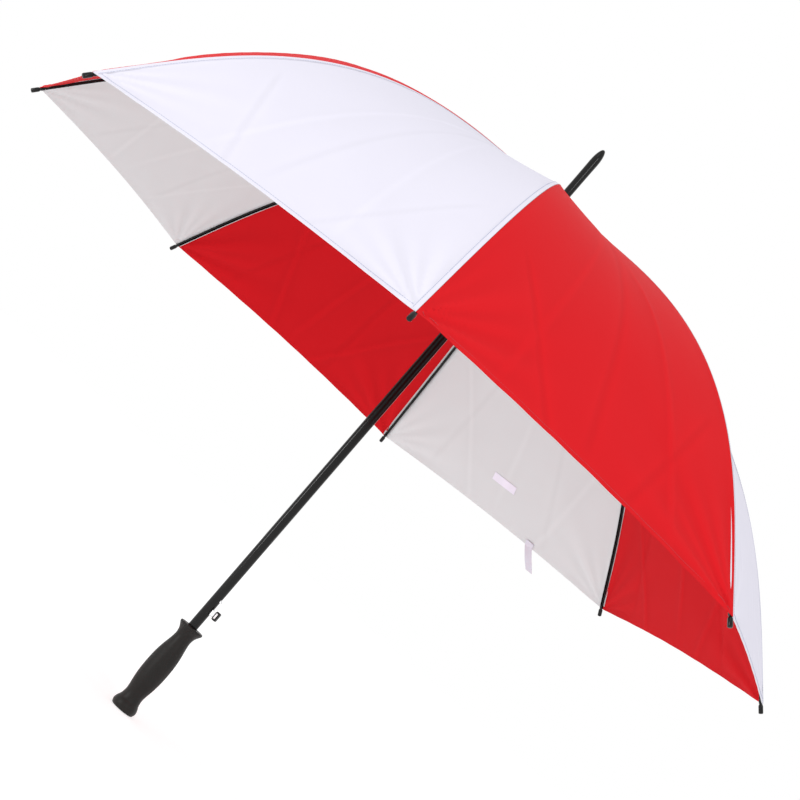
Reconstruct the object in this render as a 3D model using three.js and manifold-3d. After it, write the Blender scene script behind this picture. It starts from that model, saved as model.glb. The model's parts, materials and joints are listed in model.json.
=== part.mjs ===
// A straight golf umbrella, 8 ribs, opened by a spring and a push button.
// Units are millimetres. +Z runs up the shaft from the handle to the tip,
// and the origin is the centre of the flat end of the handle.
import * as THREE from 'three';
import { mergeVertices } from 'three/addons/utils/BufferGeometryUtils.js';
import Module from 'manifold-3d';

const wasm = await Module();
wasm.setup();

// ---------- driving dimensions ----------
const RIB_COUNT = 8;
const GAP = 0.3;                    // clearance between neighbours that touch or rest on each other

// shaft and handle
const SHAFT_R = 7;
const SHAFT_WALL = 0.7;
const SHAFT_TOP_Z = 893;
const HANDLE_LENGTH = 138;
const HANDLE_SOCKET_Z = 16;         // where the shaft ends inside the handle
const HANDLE_END_R = 18.2;          // flared lower end
const HANDLE_WAIST_R = 13.4;
const HANDLE_BELLY_R = 17.6;
const HANDLE_NECK_R = 12;
const HANDLE_COLLAR_R = 18.2;       // flared upper end
const HANDLE_SEAT = 2;              // ledge under the end of the shaft
const END_CAP_R = 11;
const END_CAP_DEPTH = 7;

// tip of the shaft
const FERRULE_R = 6.2;
const FERRULE_LENGTH = 87;          // above the top of the shaft
const FERRULE_SPIGOT_DEPTH = 18;
const FERRULE_CONE = 19;            // rounded end of the ferrule
const FERRULE_SWELL = 0.2;

// ribs: a slope that starts gentle, bends through the middle and ends steep
const RIB_LENGTH = 728;             // along the rib, from the crown hinge to the corner of the cloth
const SLOPE_START = 9.1;            // degrees below level
const SLOPE_RISE = 40.7;
const BEND_FROM = 0.10;             // share of the length where the bend starts
const BEND_TO = 0.95;
const RIB_WIDTH = 4.2;
const RIB_DEPTH = 3.4;
const RIB_WALL = 0.7;
const RIVET_AT = 337;               // along the rib
const RIVET_DROP = 0.4;             // below the middle of the section
const RIVET_R = 0.7;
const RIVET_FOLDED_R = 26;          // how close the rivets come to the axis when folded
const FLEX_AFTER_RIVET = 6;         // the rib's elastic bend is gathered here
const HINGE_BELOW_TOP = 15;         // from the top of the shaft down to the crown wire
const CROWN_REACH = 5;              // from the shaft's surface out to the crown wire
const CROWN_WIRE_R = 0.6;
const CROWN_HEIGHT = 10;
const CROWN_RIM = 3.5;              // crown material outside its wire
const CROWN_NECK = 1.3;             // wall of the crown under its slots
const CROWN_SKIRT = 9;
const CROWN_HEM = 4;                // collar above the slots
const TONGUE = 1.2;                 // thickness of the flat ends that swing in the slots
const TONGUE_LENGTH = 14;
const CHANNEL_FROM = 8;             // where the rib's channel begins

// tip caps
const CAP_R = 3.1;
const CAP_LENGTH = 19;
const CAP_BEYOND = 12;              // stands past the corner of the cloth

// stretchers and runner
const STRETCHER_WIDTH = 3.4;
const STRETCHER_DEPTH = 2.4;
const STRETCHER_WALL = 0.6;
const EAR_R = 1.8;
const EAR_WALL = 0.7;
const EAR_LENGTH = 24;
const BRIDGE_LENGTH = 4;
const BLADE_LENGTH = 18;
const RUNNER_BORE_GAP = 0.4;
const RUNNER_WALL = 1.4;
const RUNNER_ABOVE = 14;
const RUNNER_BELOW = 26;
const RUNNER_RING_R = 14.5;
const RUNNER_RING_HEIGHT = 9;
const RUNNER_FLANGE_R = 12.5;
const RUNNER_WIRE_R = 0.5;
const RUNNER_WIRE_REACH = 2.8;      // from the shaft's surface out to the wire

// opening spring
const SPRING_TURNS = 11;
const SPRING_WIRE_R = 0.7;
const SPRING_SLACK = 0.5;           // the coil stands off the shaft by this much more than a gap

// push button and catch
const BUTTON_ABOVE_HANDLE = 30.4;
const BUTTON_AZIMUTH = -22.5;
const BUTTON_LENGTH = 12.9;
const BUTTON_WIDTH = 6;
const BUTTON_OUT = 19.6;            // outer face, from the axis
const BUTTON_THICKNESS = 6.2;
const STEM_WIDTH = 2.8;
const STEM_LENGTH = 8;
const CATCH_LEAF_LENGTH = 20;
const CATCH_TOOTH_LENGTH = 6;
const CATCH_OUT = 2.0;              // tooth stands this far out of the shaft

// cloth
const CLOTH = 0.6;
const CLOTH_OFF_RIB = 0.9;          // air between a rib and the cloth over it
const SEAM_GAP = 0.2;               // half the gap between two panels over a rib
const CLOTH_SAG = 6.2;              // how far a panel dips between its ribs
const BLOWN_PANEL = 5;              // this one is blown up instead, by so much
const BLOWN_RISE = 20;
const HEM_ARCH = 7;                 // how far the hem curves in between two tips
const PEAK_LIFT = 17;               // the cloth is tented up over the crown
const PEAK_SPREAD = 42;
const PEAK_CLEAR = 0.8;             // from the ferrule out to the cloth
const CLOTH_ACROSS = 4;             // facets of a panel, across and along each of its two lengths
const CLOTH_ALONG = { inner: 9, outer: 11 };

// tie strap
const STRAP_WIDTH = 15;
const STRAP_LENGTH = 50;
const STRAP_THICKNESS = 1.2;
const STRAP_PANEL = 2;
const STRAP_SHARE = 0.325;          // along the panel's hem
const STRAP_INSIDE = 10;            // sewn length under the hem
const STRAP_DIRECTION = new THREE.Vector3(0.65, 0.13, -0.75).normalize();

// ---------- materials ----------
const finish = (color, roughness, metalness) =>
  new THREE.MeshStandardMaterial({ color, roughness, metalness });
const blackSteel = finish(0x141415, 0.3, 0.6);
const wireSteel = finish(0x9a9c9e, 0.35, 1);
const gripPlastic = finish(0x2b2927, 0.55, 0);
const blackPlastic = finish(0x121213, 0.35, 0);
const redCloth = finish(0xdd2730, 0.8, 0);
const whiteCloth = finish(0xf0eef4, 0.8, 0);

// ---------- helpers ----------
const radians = THREE.MathUtils.degToRad;
const STEP_ANGLE = (2 * Math.PI) / RIB_COUNT;
const hingeZ = SHAFT_TOP_Z - HINGE_BELOW_TOP;
const buttonZ = HANDLE_LENGTH + BUTTON_ABOVE_HANDLE;
const UP = new THREE.Vector3(0, 0, 1);

// A mesh with every shared vertex merged and its faces pointing out.
function closed(geometry) {
  const plain = geometry.index ? geometry.toNonIndexed() : geometry.clone();
  plain.deleteAttribute('normal');
  plain.deleteAttribute('uv');
  const merged = mergeVertices(plain, 1e-4);
  const kept = [];
  const index = merged.index.array;
  for (let i = 0; i < index.length; i += 3) {
    const [a, b, c] = [index[i], index[i + 1], index[i + 2]];
    if (a !== b && b !== c && c !== a) kept.push(a, b, c);
  }
  merged.setIndex(volume(merged, kept) < 0 ? kept.reverse() : kept);
  return merged;
}

function volume(geometry, index) {
  const corner = [new THREE.Vector3(), new THREE.Vector3(), new THREE.Vector3()];
  let sum = 0;
  for (let i = 0; i < index.length; i += 3) {
    corner.forEach((v, j) => v.fromBufferAttribute(geometry.attributes.position, index[i + j]));
    sum += corner[0].dot(corner[1].clone().cross(corner[2]));
  }
  return sum / 6;
}

function solid(geometry) {
  const merged = closed(geometry);
  return new wasm.Manifold(new wasm.Mesh({
    numProp: 3,
    vertProperties: new Float32Array(merged.attributes.position.array),
    triVerts: new Uint32Array(merged.index.array),
  }));
}

function fromSolid(manifold) {
  const cut = manifold.getMesh();
  const geometry = new THREE.BufferGeometry();
  geometry.setAttribute('position', new THREE.BufferAttribute(new Float32Array(cut.vertProperties), 3));
  geometry.setIndex(Array.from(cut.triVerts));
  return geometry;
}

// A profile of [radius, height] pairs turned about the Z axis.
function turned(profile, sides = 24) {
  const points = profile.map(([r, z]) => new THREE.Vector2(r, z));
  return new THREE.LatheGeometry(points, sides).rotateX(Math.PI / 2);
}

// A hollow turned piece: the profile closes on itself.
function turnedRing(profile, sides = 24) {
  return turned([...profile, profile[0]], sides);
}

function tube(outer, inner, low, high, sides = 24) {
  return turnedRing([[inner, low], [outer, low], [outer, high], [inner, high]], sides);
}

function box(low, high) {
  const size = high.map((v, i) => v - low[i]);
  const middle = high.map((v, i) => (v + low[i]) / 2);
  return new THREE.BoxGeometry(...size).translate(...middle);
}

// A round pin along Y.
function pin(radius, x, z, halfLength, sides = 8) {
  return new THREE.CylinderGeometry(radius, radius, 2 * halfLength, sides).translate(x, 0, z);
}

function ringWire(radius, wireR, z, sides = 24) {
  return new THREE.TorusGeometry(radius, wireR, 5, sides).translate(0, 0, z);
}

// Moves every vertex of a geometry to the place that a function gives it.
function bent(geometry, place) {
  const position = geometry.attributes.position;
  for (let i = 0; i < position.count; i += 1) {
    const p = place(position.getX(i), position.getY(i), position.getZ(i));
    position.setXYZ(i, p.x, p.y, p.z);
  }
  return geometry;
}

// A channel section, open on its lower side, extruded along Z.
function channel(width, depth, wall, length, steps) {
  const [w, d] = [width / 2, depth / 2];
  const outline = new THREE.Shape([
    [-w, -d], [-w, d], [w, d], [w, -d], [w - wall, -d], [w - wall, d - wall], [wall - w, d - wall], [wall - w, -d],
  ].map(([x, y]) => new THREE.Vector2(x, y)));
  return new THREE.ExtrudeGeometry(outline, { depth: length, steps, bevelEnabled: false });
}

// ---------- the rib's curve, in the plane of radius (x) and height (z) ----------
const hingeR = SHAFT_R + CROWN_REACH;
const CURVE_STEPS = 364;
const CURVE_STEP = RIB_LENGTH / CURVE_STEPS;

function slopeAt(s) {
  const share = THREE.MathUtils.smoothstep(s / RIB_LENGTH, BEND_FROM, BEND_TO);
  return radians(SLOPE_START + SLOPE_RISE * share);
}

const curve = [{ r: hingeR, z: hingeZ }];
for (let i = 1; i <= CURVE_STEPS; i += 1) {
  const slope = slopeAt((i - 0.5) * CURVE_STEP);
  const last = curve[i - 1];
  curve.push({ r: last.r + Math.cos(slope) * CURVE_STEP, z: last.z - Math.sin(slope) * CURVE_STEP });
}

// The point at length s along the rib, and "up" across it. Past both ends it runs straight on.
function ribPoint(s, up = 0) {
  const i = THREE.MathUtils.clamp(Math.floor(s / CURVE_STEP), 0, CURVE_STEPS);
  const rest = s - i * CURVE_STEP;
  const slope = slopeAt(THREE.MathUtils.clamp(s, 0, RIB_LENGTH));
  return {
    r: curve[i].r + Math.cos(slope) * rest + Math.sin(slope) * up,
    z: curve[i].z - Math.sin(slope) * rest + Math.cos(slope) * up,
  };
}

const rivet = ribPoint(RIVET_AT, -RIVET_DROP);
const flexAt = RIVET_AT + FLEX_AFTER_RIVET;
const stretcherRun = rivet.r - hingeR;
const stretcherDrop = hingeZ - rivet.z;
const stretcherLength = Math.hypot(stretcherRun, stretcherDrop);
const runnerZ = rivet.z - stretcherDrop;     // stretcher and inner rib are equal links
const earInner = RIB_WIDTH / 2 + GAP;
const earOuter = earInner + EAR_WALL;

// ---------- fixed pieces on the shaft ----------
const shaftBore = SHAFT_R - SHAFT_WALL;
const buttonSlotLow = buttonZ - STEM_LENGTH / 2 - GAP;
const leafLow = buttonZ + STEM_LENGTH / 2 + GAP;
const toothLow = leafLow + CATCH_LEAF_LENGTH - CATCH_TOOTH_LENGTH - 2;
const buttonSlotHigh = toothLow + CATCH_TOOTH_LENGTH + GAP;

function atButton(geometry) {
  return geometry.rotateZ(radians(BUTTON_AZIMUTH));
}

function shaftTube() {
  const slotHalf = STEM_WIDTH / 2 + GAP;
  const slot = atButton(box([0, -slotHalf, buttonSlotLow], [2 * SHAFT_R, slotHalf, buttonSlotHigh]));
  return solid(tube(SHAFT_R, shaftBore, HANDLE_SOCKET_Z, SHAFT_TOP_Z)).subtract(solid(slot));
}

function handleGrip() {
  const socketR = SHAFT_R + GAP;
  const recessR = END_CAP_R + GAP;
  const recessTop = END_CAP_DEPTH + GAP;
  // radius at each share of the handle's length
  const outline = new THREE.SplineCurve([
    [HANDLE_END_R, 0.045], [HANDLE_END_R - 1.4, 0.085], [HANDLE_WAIST_R + 0.6, 0.14], [HANDLE_WAIST_R, 0.18],
    [HANDLE_WAIST_R + 1.7, 0.27], [HANDLE_BELLY_R - 0.5, 0.39], [HANDLE_BELLY_R, 0.51],
    [HANDLE_BELLY_R - 1.2, 0.66], [HANDLE_NECK_R + 1.4, 0.79], [HANDLE_NECK_R, 0.87],
    [HANDLE_NECK_R + 1.6, 0.925], [HANDLE_COLLAR_R - 0.3, 0.98],
  ].map(([r, share]) => new THREE.Vector2(r, share * HANDLE_LENGTH)));
  const side = outline.getPoints(16).map((p) => [p.x, p.y]);
  return turnedRing([
    [recessR, 0], [HANDLE_END_R - 4, 0], [HANDLE_END_R - 1.6, 1.4], [HANDLE_END_R - 0.4, 3.6],
    ...side,
    [HANDLE_COLLAR_R - 0.6, HANDLE_LENGTH - 0.6], [HANDLE_COLLAR_R - 2, HANDLE_LENGTH],
    [socketR, HANDLE_LENGTH], [socketR, HANDLE_SOCKET_Z - GAP], [socketR - HANDLE_SEAT, HANDLE_SOCKET_Z - GAP],
    [socketR - HANDLE_SEAT, recessTop], [recessR, recessTop],
  ]);
}

function handleEndCap() {
  return turned([[0, 0], [END_CAP_R, 0], [END_CAP_R, END_CAP_DEPTH], [0, END_CAP_DEPTH]]);
}

function ferrule() {
  const spigotR = shaftBore - GAP / 2;
  const base = SHAFT_TOP_Z + GAP;
  const tip = SHAFT_TOP_Z + FERRULE_LENGTH;
  const cone = tip - FERRULE_CONE;
  const spigotLow = SHAFT_TOP_Z - FERRULE_SPIGOT_DEPTH;
  // the rounded end: share of the radius lost at each share of the cone's height
  const nose = [[0.145, 0.42], [0.34, 0.71], [0.52, 0.905], [0.69, 0.984]]
    .map(([lost, height]) => [FERRULE_R * (1 - lost), cone + FERRULE_CONE * height]);
  return turned([
    [0, spigotLow], [spigotR, spigotLow], [spigotR, base], [FERRULE_R, base],
    [FERRULE_R, base + FERRULE_LENGTH * 0.4], [FERRULE_R + FERRULE_SWELL, cone - FERRULE_CONE * 0.2],
    [FERRULE_R + FERRULE_SWELL / 2, cone], ...nose, [0, tip],
  ], 20);
}

const crownTop = hingeZ + CROWN_HEIGHT / 2;
const crownNeckR = SHAFT_R + GAP + CROWN_NECK;
const crownSkirtZ = crownTop - CROWN_HEIGHT - CROWN_SKIRT;

// The crown: a notched collar pressed on the shaft, with a slot for each rib.
function crown() {
  const bore = SHAFT_R + GAP;
  const low = hingeZ - CROWN_HEIGHT / 2;
  let body = solid(turnedRing([
    [bore, crownSkirtZ], [crownNeckR, crownSkirtZ], [crownNeckR, low], [hingeR + CROWN_RIM, low],
    [hingeR + CROWN_RIM, crownTop], [crownNeckR, crownTop + CROWN_HEM], [bore, crownTop + CROWN_HEM],
  ]));
  for (let k = 0; k < RIB_COUNT; k += 1) {
    const slot = box([crownNeckR + 0.2, -TONGUE / 2 - GAP, low - 1], [hingeR * 2, TONGUE / 2 + GAP, crownTop + CROWN_HEM + 1]);
    body = body.subtract(solid(slot.rotateZ(k * STEP_ANGLE)));
  }
  return body.subtract(solid(ringWire(hingeR, CROWN_WIRE_R + GAP, hingeZ)));
}

// ---------- runner ----------
const runnerBore = SHAFT_R + RUNNER_BORE_GAP;
const runnerWireRing = SHAFT_R + RUNNER_WIRE_REACH;

function runner() {
  const neck = runnerBore + RUNNER_WALL;
  const half = RUNNER_RING_HEIGHT / 2;
  let body = solid(turnedRing([
    [runnerBore, runnerZ - RUNNER_BELOW], [RUNNER_FLANGE_R, runnerZ - RUNNER_BELOW],
    [RUNNER_FLANGE_R, runnerZ - RUNNER_BELOW + 3], [neck + 0.6, runnerZ - RUNNER_BELOW + 7],
    [neck, runnerZ - half - 4], [RUNNER_RING_R, runnerZ - half], [RUNNER_RING_R, runnerZ + half],
    [neck + 0.8, runnerZ + half + 3], [neck, runnerZ + RUNNER_ABOVE], [runnerBore, runnerZ + RUNNER_ABOVE],
  ]));
  for (let k = 0; k < RIB_COUNT; k += 1) {
    const slot = box([neck + 0.1, -TONGUE / 2 - GAP, runnerZ - RUNNER_BELOW - 1],
      [RUNNER_RING_R * 2, TONGUE / 2 + GAP, runnerZ + RUNNER_ABOVE + 1]);
    body = body.subtract(solid(slot.rotateZ(k * STEP_ANGLE)));
  }
  const windowHalf = STEM_WIDTH / 2 + 2 * GAP;
  const windowLow = toothLow + runnerTravel - 1;
  const window = atButton(box([0, -windowHalf, windowLow],
    [RUNNER_RING_R * 2, windowHalf, windowLow + CATCH_TOOTH_LENGTH + 2]));
  return body
    .subtract(solid(ringWire(runnerWireRing, RUNNER_WIRE_R + GAP, runnerZ)))
    .subtract(solid(window));
}

// Folded, the rivets close in on the shaft and the runner is down by this much.
const runnerTravel = 2 * Math.sqrt(stretcherLength ** 2 - (RIVET_FOLDED_R - hingeR) ** 2) - 2 * stretcherDrop;

// ---------- opening spring ----------
class Coil extends THREE.Curve {
  constructor(radius, low, high, turns) {
    super();
    Object.assign(this, { radius, low, high, turns });
  }

  getPoint(t, target = new THREE.Vector3()) {
    const angle = t * this.turns * 2 * Math.PI;
    return target.set(this.radius * Math.cos(angle), this.radius * Math.sin(angle), this.low + (this.high - this.low) * t);
  }
}

function openingSpring() {
  const low = runnerZ + RUNNER_ABOVE + GAP + SPRING_WIRE_R;
  const high = crownSkirtZ - GAP - SPRING_WIRE_R;
  const coil = new Coil(SHAFT_R + GAP + SPRING_WIRE_R + SPRING_SLACK, low, high, SPRING_TURNS);
  const section = new THREE.Shape();
  section.absarc(0, 0, SPRING_WIRE_R, 0, 2 * Math.PI);
  return new THREE.ExtrudeGeometry(section, {
    steps: SPRING_TURNS * 8, extrudePath: coil, curveSegments: 3, bevelEnabled: false,
  });
}

// ---------- push button and catch ----------
function releaseButton() {
  const inner = BUTTON_OUT - BUTTON_THICKNESS;
  const half = BUTTON_LENGTH / 2;
  const cap = new THREE.Shape();
  cap.moveTo(inner, buttonZ - half);
  cap.lineTo(BUTTON_OUT - 1.5, buttonZ - half);
  cap.quadraticCurveTo(BUTTON_OUT, buttonZ - half, BUTTON_OUT, buttonZ - half + 1.5);
  cap.lineTo(BUTTON_OUT, buttonZ + half - 1.5);
  cap.quadraticCurveTo(BUTTON_OUT, buttonZ + half, BUTTON_OUT - 1.5, buttonZ + half);
  cap.lineTo(inner, buttonZ + half);
  const block = new THREE.ExtrudeGeometry(cap, { depth: BUTTON_WIDTH, bevelEnabled: false, curveSegments: 4 })
    .translate(0, 0, -BUTTON_WIDTH / 2).rotateX(Math.PI / 2);
  const stem = box([shaftBore - 2.4, -STEM_WIDTH / 2, buttonZ - STEM_LENGTH / 2],
    [inner + 1, STEM_WIDTH / 2, buttonZ + STEM_LENGTH / 2]);
  return solid(atButton(block)).add(solid(atButton(stem)));
}

function runnerCatch() {
  const leafOut = shaftBore - 1.6;
  const leaf = box([leafOut - 1, -STEM_WIDTH / 2, leafLow], [leafOut, STEM_WIDTH / 2, leafLow + CATCH_LEAF_LENGTH]);
  const tooth = new THREE.Shape([
    [leafOut - 0.5, toothLow], [SHAFT_R + CATCH_OUT, toothLow], [SHAFT_R + CATCH_OUT, toothLow + 1.5],
    [leafOut - 0.5, toothLow + CATCH_TOOTH_LENGTH],
  ].map(([x, y]) => new THREE.Vector2(x, y)));
  const wedge = new THREE.ExtrudeGeometry(tooth, { depth: STEM_WIDTH, bevelEnabled: false })
    .translate(0, 0, -STEM_WIDTH / 2).rotateX(Math.PI / 2);
  return solid(atButton(leaf)).add(solid(atButton(wedge)));
}

// ---------- ribs, in the plane of azimuth 0 ----------
const ontoRib = (s0) => (lateral, up, along) => {
  const p = ribPoint(s0 + along, up);
  return new THREE.Vector3(p.r, lateral, p.z);
};

function ribInner() {
  const length = flexAt - GAP / 2 - CHANNEL_FROM;
  const body = bent(channel(RIB_WIDTH, RIB_DEPTH, RIB_WALL, length, 9), ontoRib(CHANNEL_FROM));
  const tongue = bent(new THREE.BoxGeometry(TONGUE, RIB_DEPTH, TONGUE_LENGTH).translate(0, 0, TONGUE_LENGTH / 2), ontoRib(0));
  const eye = pin(RIB_DEPTH / 2 + 0.5, hingeR, hingeZ, TONGUE / 2);
  const eyeHole = pin(CROWN_WIRE_R + 0.35, hingeR, hingeZ, TONGUE);
  const rivetHole = pin(RIVET_R + GAP, rivet.r, rivet.z, RIB_WIDTH);
  return solid(body).add(solid(tongue)).add(solid(eye)).subtract(solid(eyeHole)).subtract(solid(rivetHole));
}

function ribOuter() {
  const from = flexAt + GAP / 2;
  return bent(channel(RIB_WIDTH, RIB_DEPTH, RIB_WALL, ribEnd - from, 11), ontoRib(from));
}

const capFrom = RIB_LENGTH + CAP_BEYOND - CAP_LENGTH;
const ribEnd = capFrom - GAP;

// The plastic cap over the end of a rib; the corner of the cloth is sewn to it.
function ribTip() {
  const profile = [
    [0, 0], [CAP_R - 1, 0], [CAP_R - 0.6, 4], [CAP_R - 0.6, CAP_LENGTH - CAP_BEYOND + 1],
    [CAP_R, CAP_LENGTH - CAP_BEYOND + 2.5], [CAP_R, CAP_LENGTH - 1], [CAP_R - 1, CAP_LENGTH], [0, CAP_LENGTH],
  ];
  return bent(turned(profile, 10), (x, y, z) => ontoRib(capFrom)(y, x, z));
}

// ---------- stretchers, in the plane of azimuth 0 ----------
// Along runs from the rivet down to the runner; up is across the stretcher.
function ontoStretcher(lateral, up, along) {
  const [c, d] = [stretcherRun / stretcherLength, stretcherDrop / stretcherLength];
  return new THREE.Vector3(rivet.r - c * along - d * up, lateral, rivet.z - d * along + c * up);
}

function stretcherPlate(low, high) {
  return solid(bent(box(low, high), (x, y, z) => ontoStretcher(x, y, z)));
}

function stretcher() {
  const half = STRETCHER_DEPTH / 2;
  const bodyFrom = EAR_LENGTH - BRIDGE_LENGTH;
  const bodyLength = stretcherLength - BLADE_LENGTH - bodyFrom;
  const body = channel(STRETCHER_WIDTH, STRETCHER_DEPTH, STRETCHER_WALL, bodyLength, 1)
    .rotateZ(Math.PI).translate(0, 0, bodyFrom);
  let piece = solid(bent(body, ontoStretcher))
    .add(stretcherPlate([-earOuter, -half, bodyFrom], [earOuter, half, EAR_LENGTH]))
    .add(stretcherPlate([-TONGUE / 2, -half, bodyFrom + bodyLength - 6], [TONGUE / 2, half, stretcherLength]))
    .add(solid(pin(half, hingeR, runnerZ, TONGUE / 2)))
    .add(solid(pin(RIVET_R, rivet.r, rivet.z, earOuter)));
  for (const side of [-1, 1]) {
    const [near, far] = side < 0 ? [-earOuter, -earInner] : [earInner, earOuter];
    const middle = (near + far) / 2;
    const ear = stretcherPlate([near, -half, 0], [far, half, EAR_LENGTH])
      .add(solid(pin(EAR_R, rivet.r, rivet.z, EAR_WALL / 2).translate(0, middle, 0)));
    piece = piece.add(ear);
  }
  return piece;
}

// ---------- cloth ----------
const clothLow = RIB_DEPTH / 2 + CLOTH_OFF_RIB;
const clothEdgeR = (FERRULE_R + PEAK_CLEAR) / Math.cos(STEP_ANGLE / 2);
const clothFrom = (clothEdgeR - hingeR) / Math.cos(slopeAt(0));

// Where the cloth lies over a rib at length s, raised by the tent over the crown.
function seamPoint(s, up) {
  const p = ribPoint(s, up);
  const lift = PEAK_LIFT * Math.exp(-Math.max(p.r - clothEdgeR, 0) / PEAK_SPREAD);
  return new THREE.Vector3(p.r, 0, p.z + lift);
}

// A point of a panel: share runs 0 to 1 from one rib to the next, along 0 to 1 from peak to hem.
function clothPoint(share, along, up, sag = CLOTH_SAG) {
  const dip = Math.sin(Math.PI * share);
  const s = clothFrom + (RIB_LENGTH - HEM_ARCH * dip * along ** 4 - clothFrom) * along;
  const seam = seamPoint(s, up + clothLow);
  const first = new THREE.Vector3(seam.x, SEAM_GAP, seam.z);
  const last = new THREE.Vector3(seam.x, -SEAM_GAP, seam.z).applyAxisAngle(UP, STEP_ANGLE);
  const p = first.lerp(last, share);
  p.z -= sag * dip * Math.sin(Math.PI * along);
  return p;
}

// Each panel is made in two lengths that meet where the ribs bend.
const clothBend = (flexAt - clothFrom) / (RIB_LENGTH - clothFrom);
const bendGap = GAP / 2 / RIB_LENGTH;
const lengths = { inner: [0, clothBend - bendGap], outer: [clothBend + bendGap, 1] };

function canopyPanel(k, part) {
  const [from, to] = lengths[part];
  const sag = k === BLOWN_PANEL ? -BLOWN_RISE : CLOTH_SAG;
  const sheet = new THREE.BoxGeometry(1, 1, 1, CLOTH_ACROSS, CLOTH_ALONG[part], 1);
  return bent(sheet, (x, y, z) => clothPoint(x + 0.5, from + (to - from) * (y + 0.5), (z + 0.5) * CLOTH, sag));
}

// The strap hangs from the hem, sewn under the edge of its panel.
function tieStrap() {
  const underHem = (share, along) => clothPoint(share, along, -GAP - STRAP_THICKNESS)
    .applyAxisAngle(UP, (STRAP_PANEL - 1) * STEP_ANGLE);
  const hem = underHem(STRAP_SHARE, 1);
  const across = underHem(STRAP_SHARE + 0.02, 1).sub(hem).normalize();
  const inward = underHem(STRAP_SHARE, 0.985).sub(hem).normalize();
  const normal = new THREE.Vector3().crossVectors(across, inward).normalize();
  if (normal.z < 0) normal.negate();
  const strip = new THREE.BoxGeometry(STRAP_WIDTH, STRAP_LENGTH, STRAP_THICKNESS, 1, 10, 1);
  return bent(strip, (x, y, z) => {
    const along = y + STRAP_LENGTH / 2 - STRAP_INSIDE;
    const run = along < 0 ? inward.clone().multiplyScalar(-along) : STRAP_DIRECTION.clone().multiplyScalar(along);
    return hem.clone().add(run).addScaledVector(across, x).addScaledVector(normal, z - STRAP_THICKNESS / 2);
  });
}

// ---------- assembly ----------
const umbrella = new THREE.Group();

function add(name, shape, material, parent = umbrella) {
  const geometry = shape instanceof THREE.BufferGeometry ? closed(shape) : fromSolid(shape);
  const mesh = new THREE.Mesh(geometry, material);
  mesh.name = name;
  parent.add(mesh);
}

add('shaft_tube', shaftTube(), blackSteel);
add('handle_grip', handleGrip(), gripPlastic);
add('handle_end_cap', handleEndCap(), gripPlastic);
add('ferrule', ferrule(), blackPlastic);
add('crown', crown(), blackPlastic);
add('crown_wire', ringWire(hingeR, CROWN_WIRE_R, hingeZ), wireSteel);
add('runner', runner(), blackPlastic);
add('runner_wire', ringWire(runnerWireRing, RUNNER_WIRE_R, runnerZ), wireSteel);
add('opening_spring', openingSpring(), wireSteel);
add('release_button', releaseButton(), blackPlastic);
add('runner_catch', runnerCatch(), wireSteel);
add('tie_strap', tieStrap(), whiteCloth);

for (let k = 1; k <= RIB_COUNT; k += 1) {
  const spoke = new THREE.Group();
  spoke.rotation.z = (k - 1) * STEP_ANGLE;
  umbrella.add(spoke);
  add(`rib_${k}_inner`, ribInner(), blackSteel, spoke);
  add(`rib_${k}_outer`, ribOuter(), blackSteel, spoke);
  add(`rib_tip_${k}`, ribTip(), blackPlastic, spoke);
  add(`stretcher_${k}`, stretcher(), blackSteel, spoke);
  for (const part of ['inner', 'outer']) {
    add(`canopy_panel_${k}_${part}`, canopyPanel(k, part), k % 2 ? redCloth : whiteCloth, spoke);
  }
}

export default umbrella;
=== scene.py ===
# %% [markdown]
# # A golf umbrella, dressed over its mechanical frame
# The frame holds every hard part at its real place and knows how each one moves. This lesson
# models what is seen: a glossy tube, a moulded handle, eight ribs and stretchers, and a cloth
# canopy of red and white panels. Most pieces are laid over their frame part and told which body
# they move with.

# %% Load the frame
import json
import math

import bpy
import numpy as np
from mathutils import Matrix, Vector

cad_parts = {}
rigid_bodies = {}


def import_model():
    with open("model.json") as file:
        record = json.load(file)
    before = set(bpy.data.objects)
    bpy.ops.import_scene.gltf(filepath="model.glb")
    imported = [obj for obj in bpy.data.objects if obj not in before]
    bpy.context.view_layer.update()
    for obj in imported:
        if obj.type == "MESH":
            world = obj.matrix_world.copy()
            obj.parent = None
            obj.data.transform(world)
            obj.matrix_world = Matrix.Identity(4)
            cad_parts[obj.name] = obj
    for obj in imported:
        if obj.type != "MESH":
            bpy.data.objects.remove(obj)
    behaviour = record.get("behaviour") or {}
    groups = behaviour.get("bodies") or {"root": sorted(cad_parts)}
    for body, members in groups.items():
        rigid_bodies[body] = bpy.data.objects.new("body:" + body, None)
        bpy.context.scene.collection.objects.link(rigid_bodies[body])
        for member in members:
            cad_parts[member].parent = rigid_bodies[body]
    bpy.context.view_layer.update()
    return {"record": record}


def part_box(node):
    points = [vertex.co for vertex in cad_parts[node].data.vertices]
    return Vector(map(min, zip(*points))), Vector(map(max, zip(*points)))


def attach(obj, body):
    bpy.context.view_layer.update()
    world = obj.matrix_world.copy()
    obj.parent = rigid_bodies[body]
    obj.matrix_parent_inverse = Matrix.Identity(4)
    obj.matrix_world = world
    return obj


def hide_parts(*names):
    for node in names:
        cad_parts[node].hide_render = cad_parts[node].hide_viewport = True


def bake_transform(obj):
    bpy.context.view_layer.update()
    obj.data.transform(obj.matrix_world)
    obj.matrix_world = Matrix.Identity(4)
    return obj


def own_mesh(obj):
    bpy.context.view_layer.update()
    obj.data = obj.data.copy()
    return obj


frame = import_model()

MM = 0.001
RIB_COUNT = 8
STEP = 2 * math.pi / RIB_COUNT
joint_at = {j["name"]: j.get("pos_m") for j in frame["record"]["behaviour"]["joints"]}

# %% [markdown]
# ## The camera
# The umbrella stands upright on its handle. The camera is low, looks a little upward, and is
# rolled by about 41 degrees, so the shaft runs across the picture from corner to corner.

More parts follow.
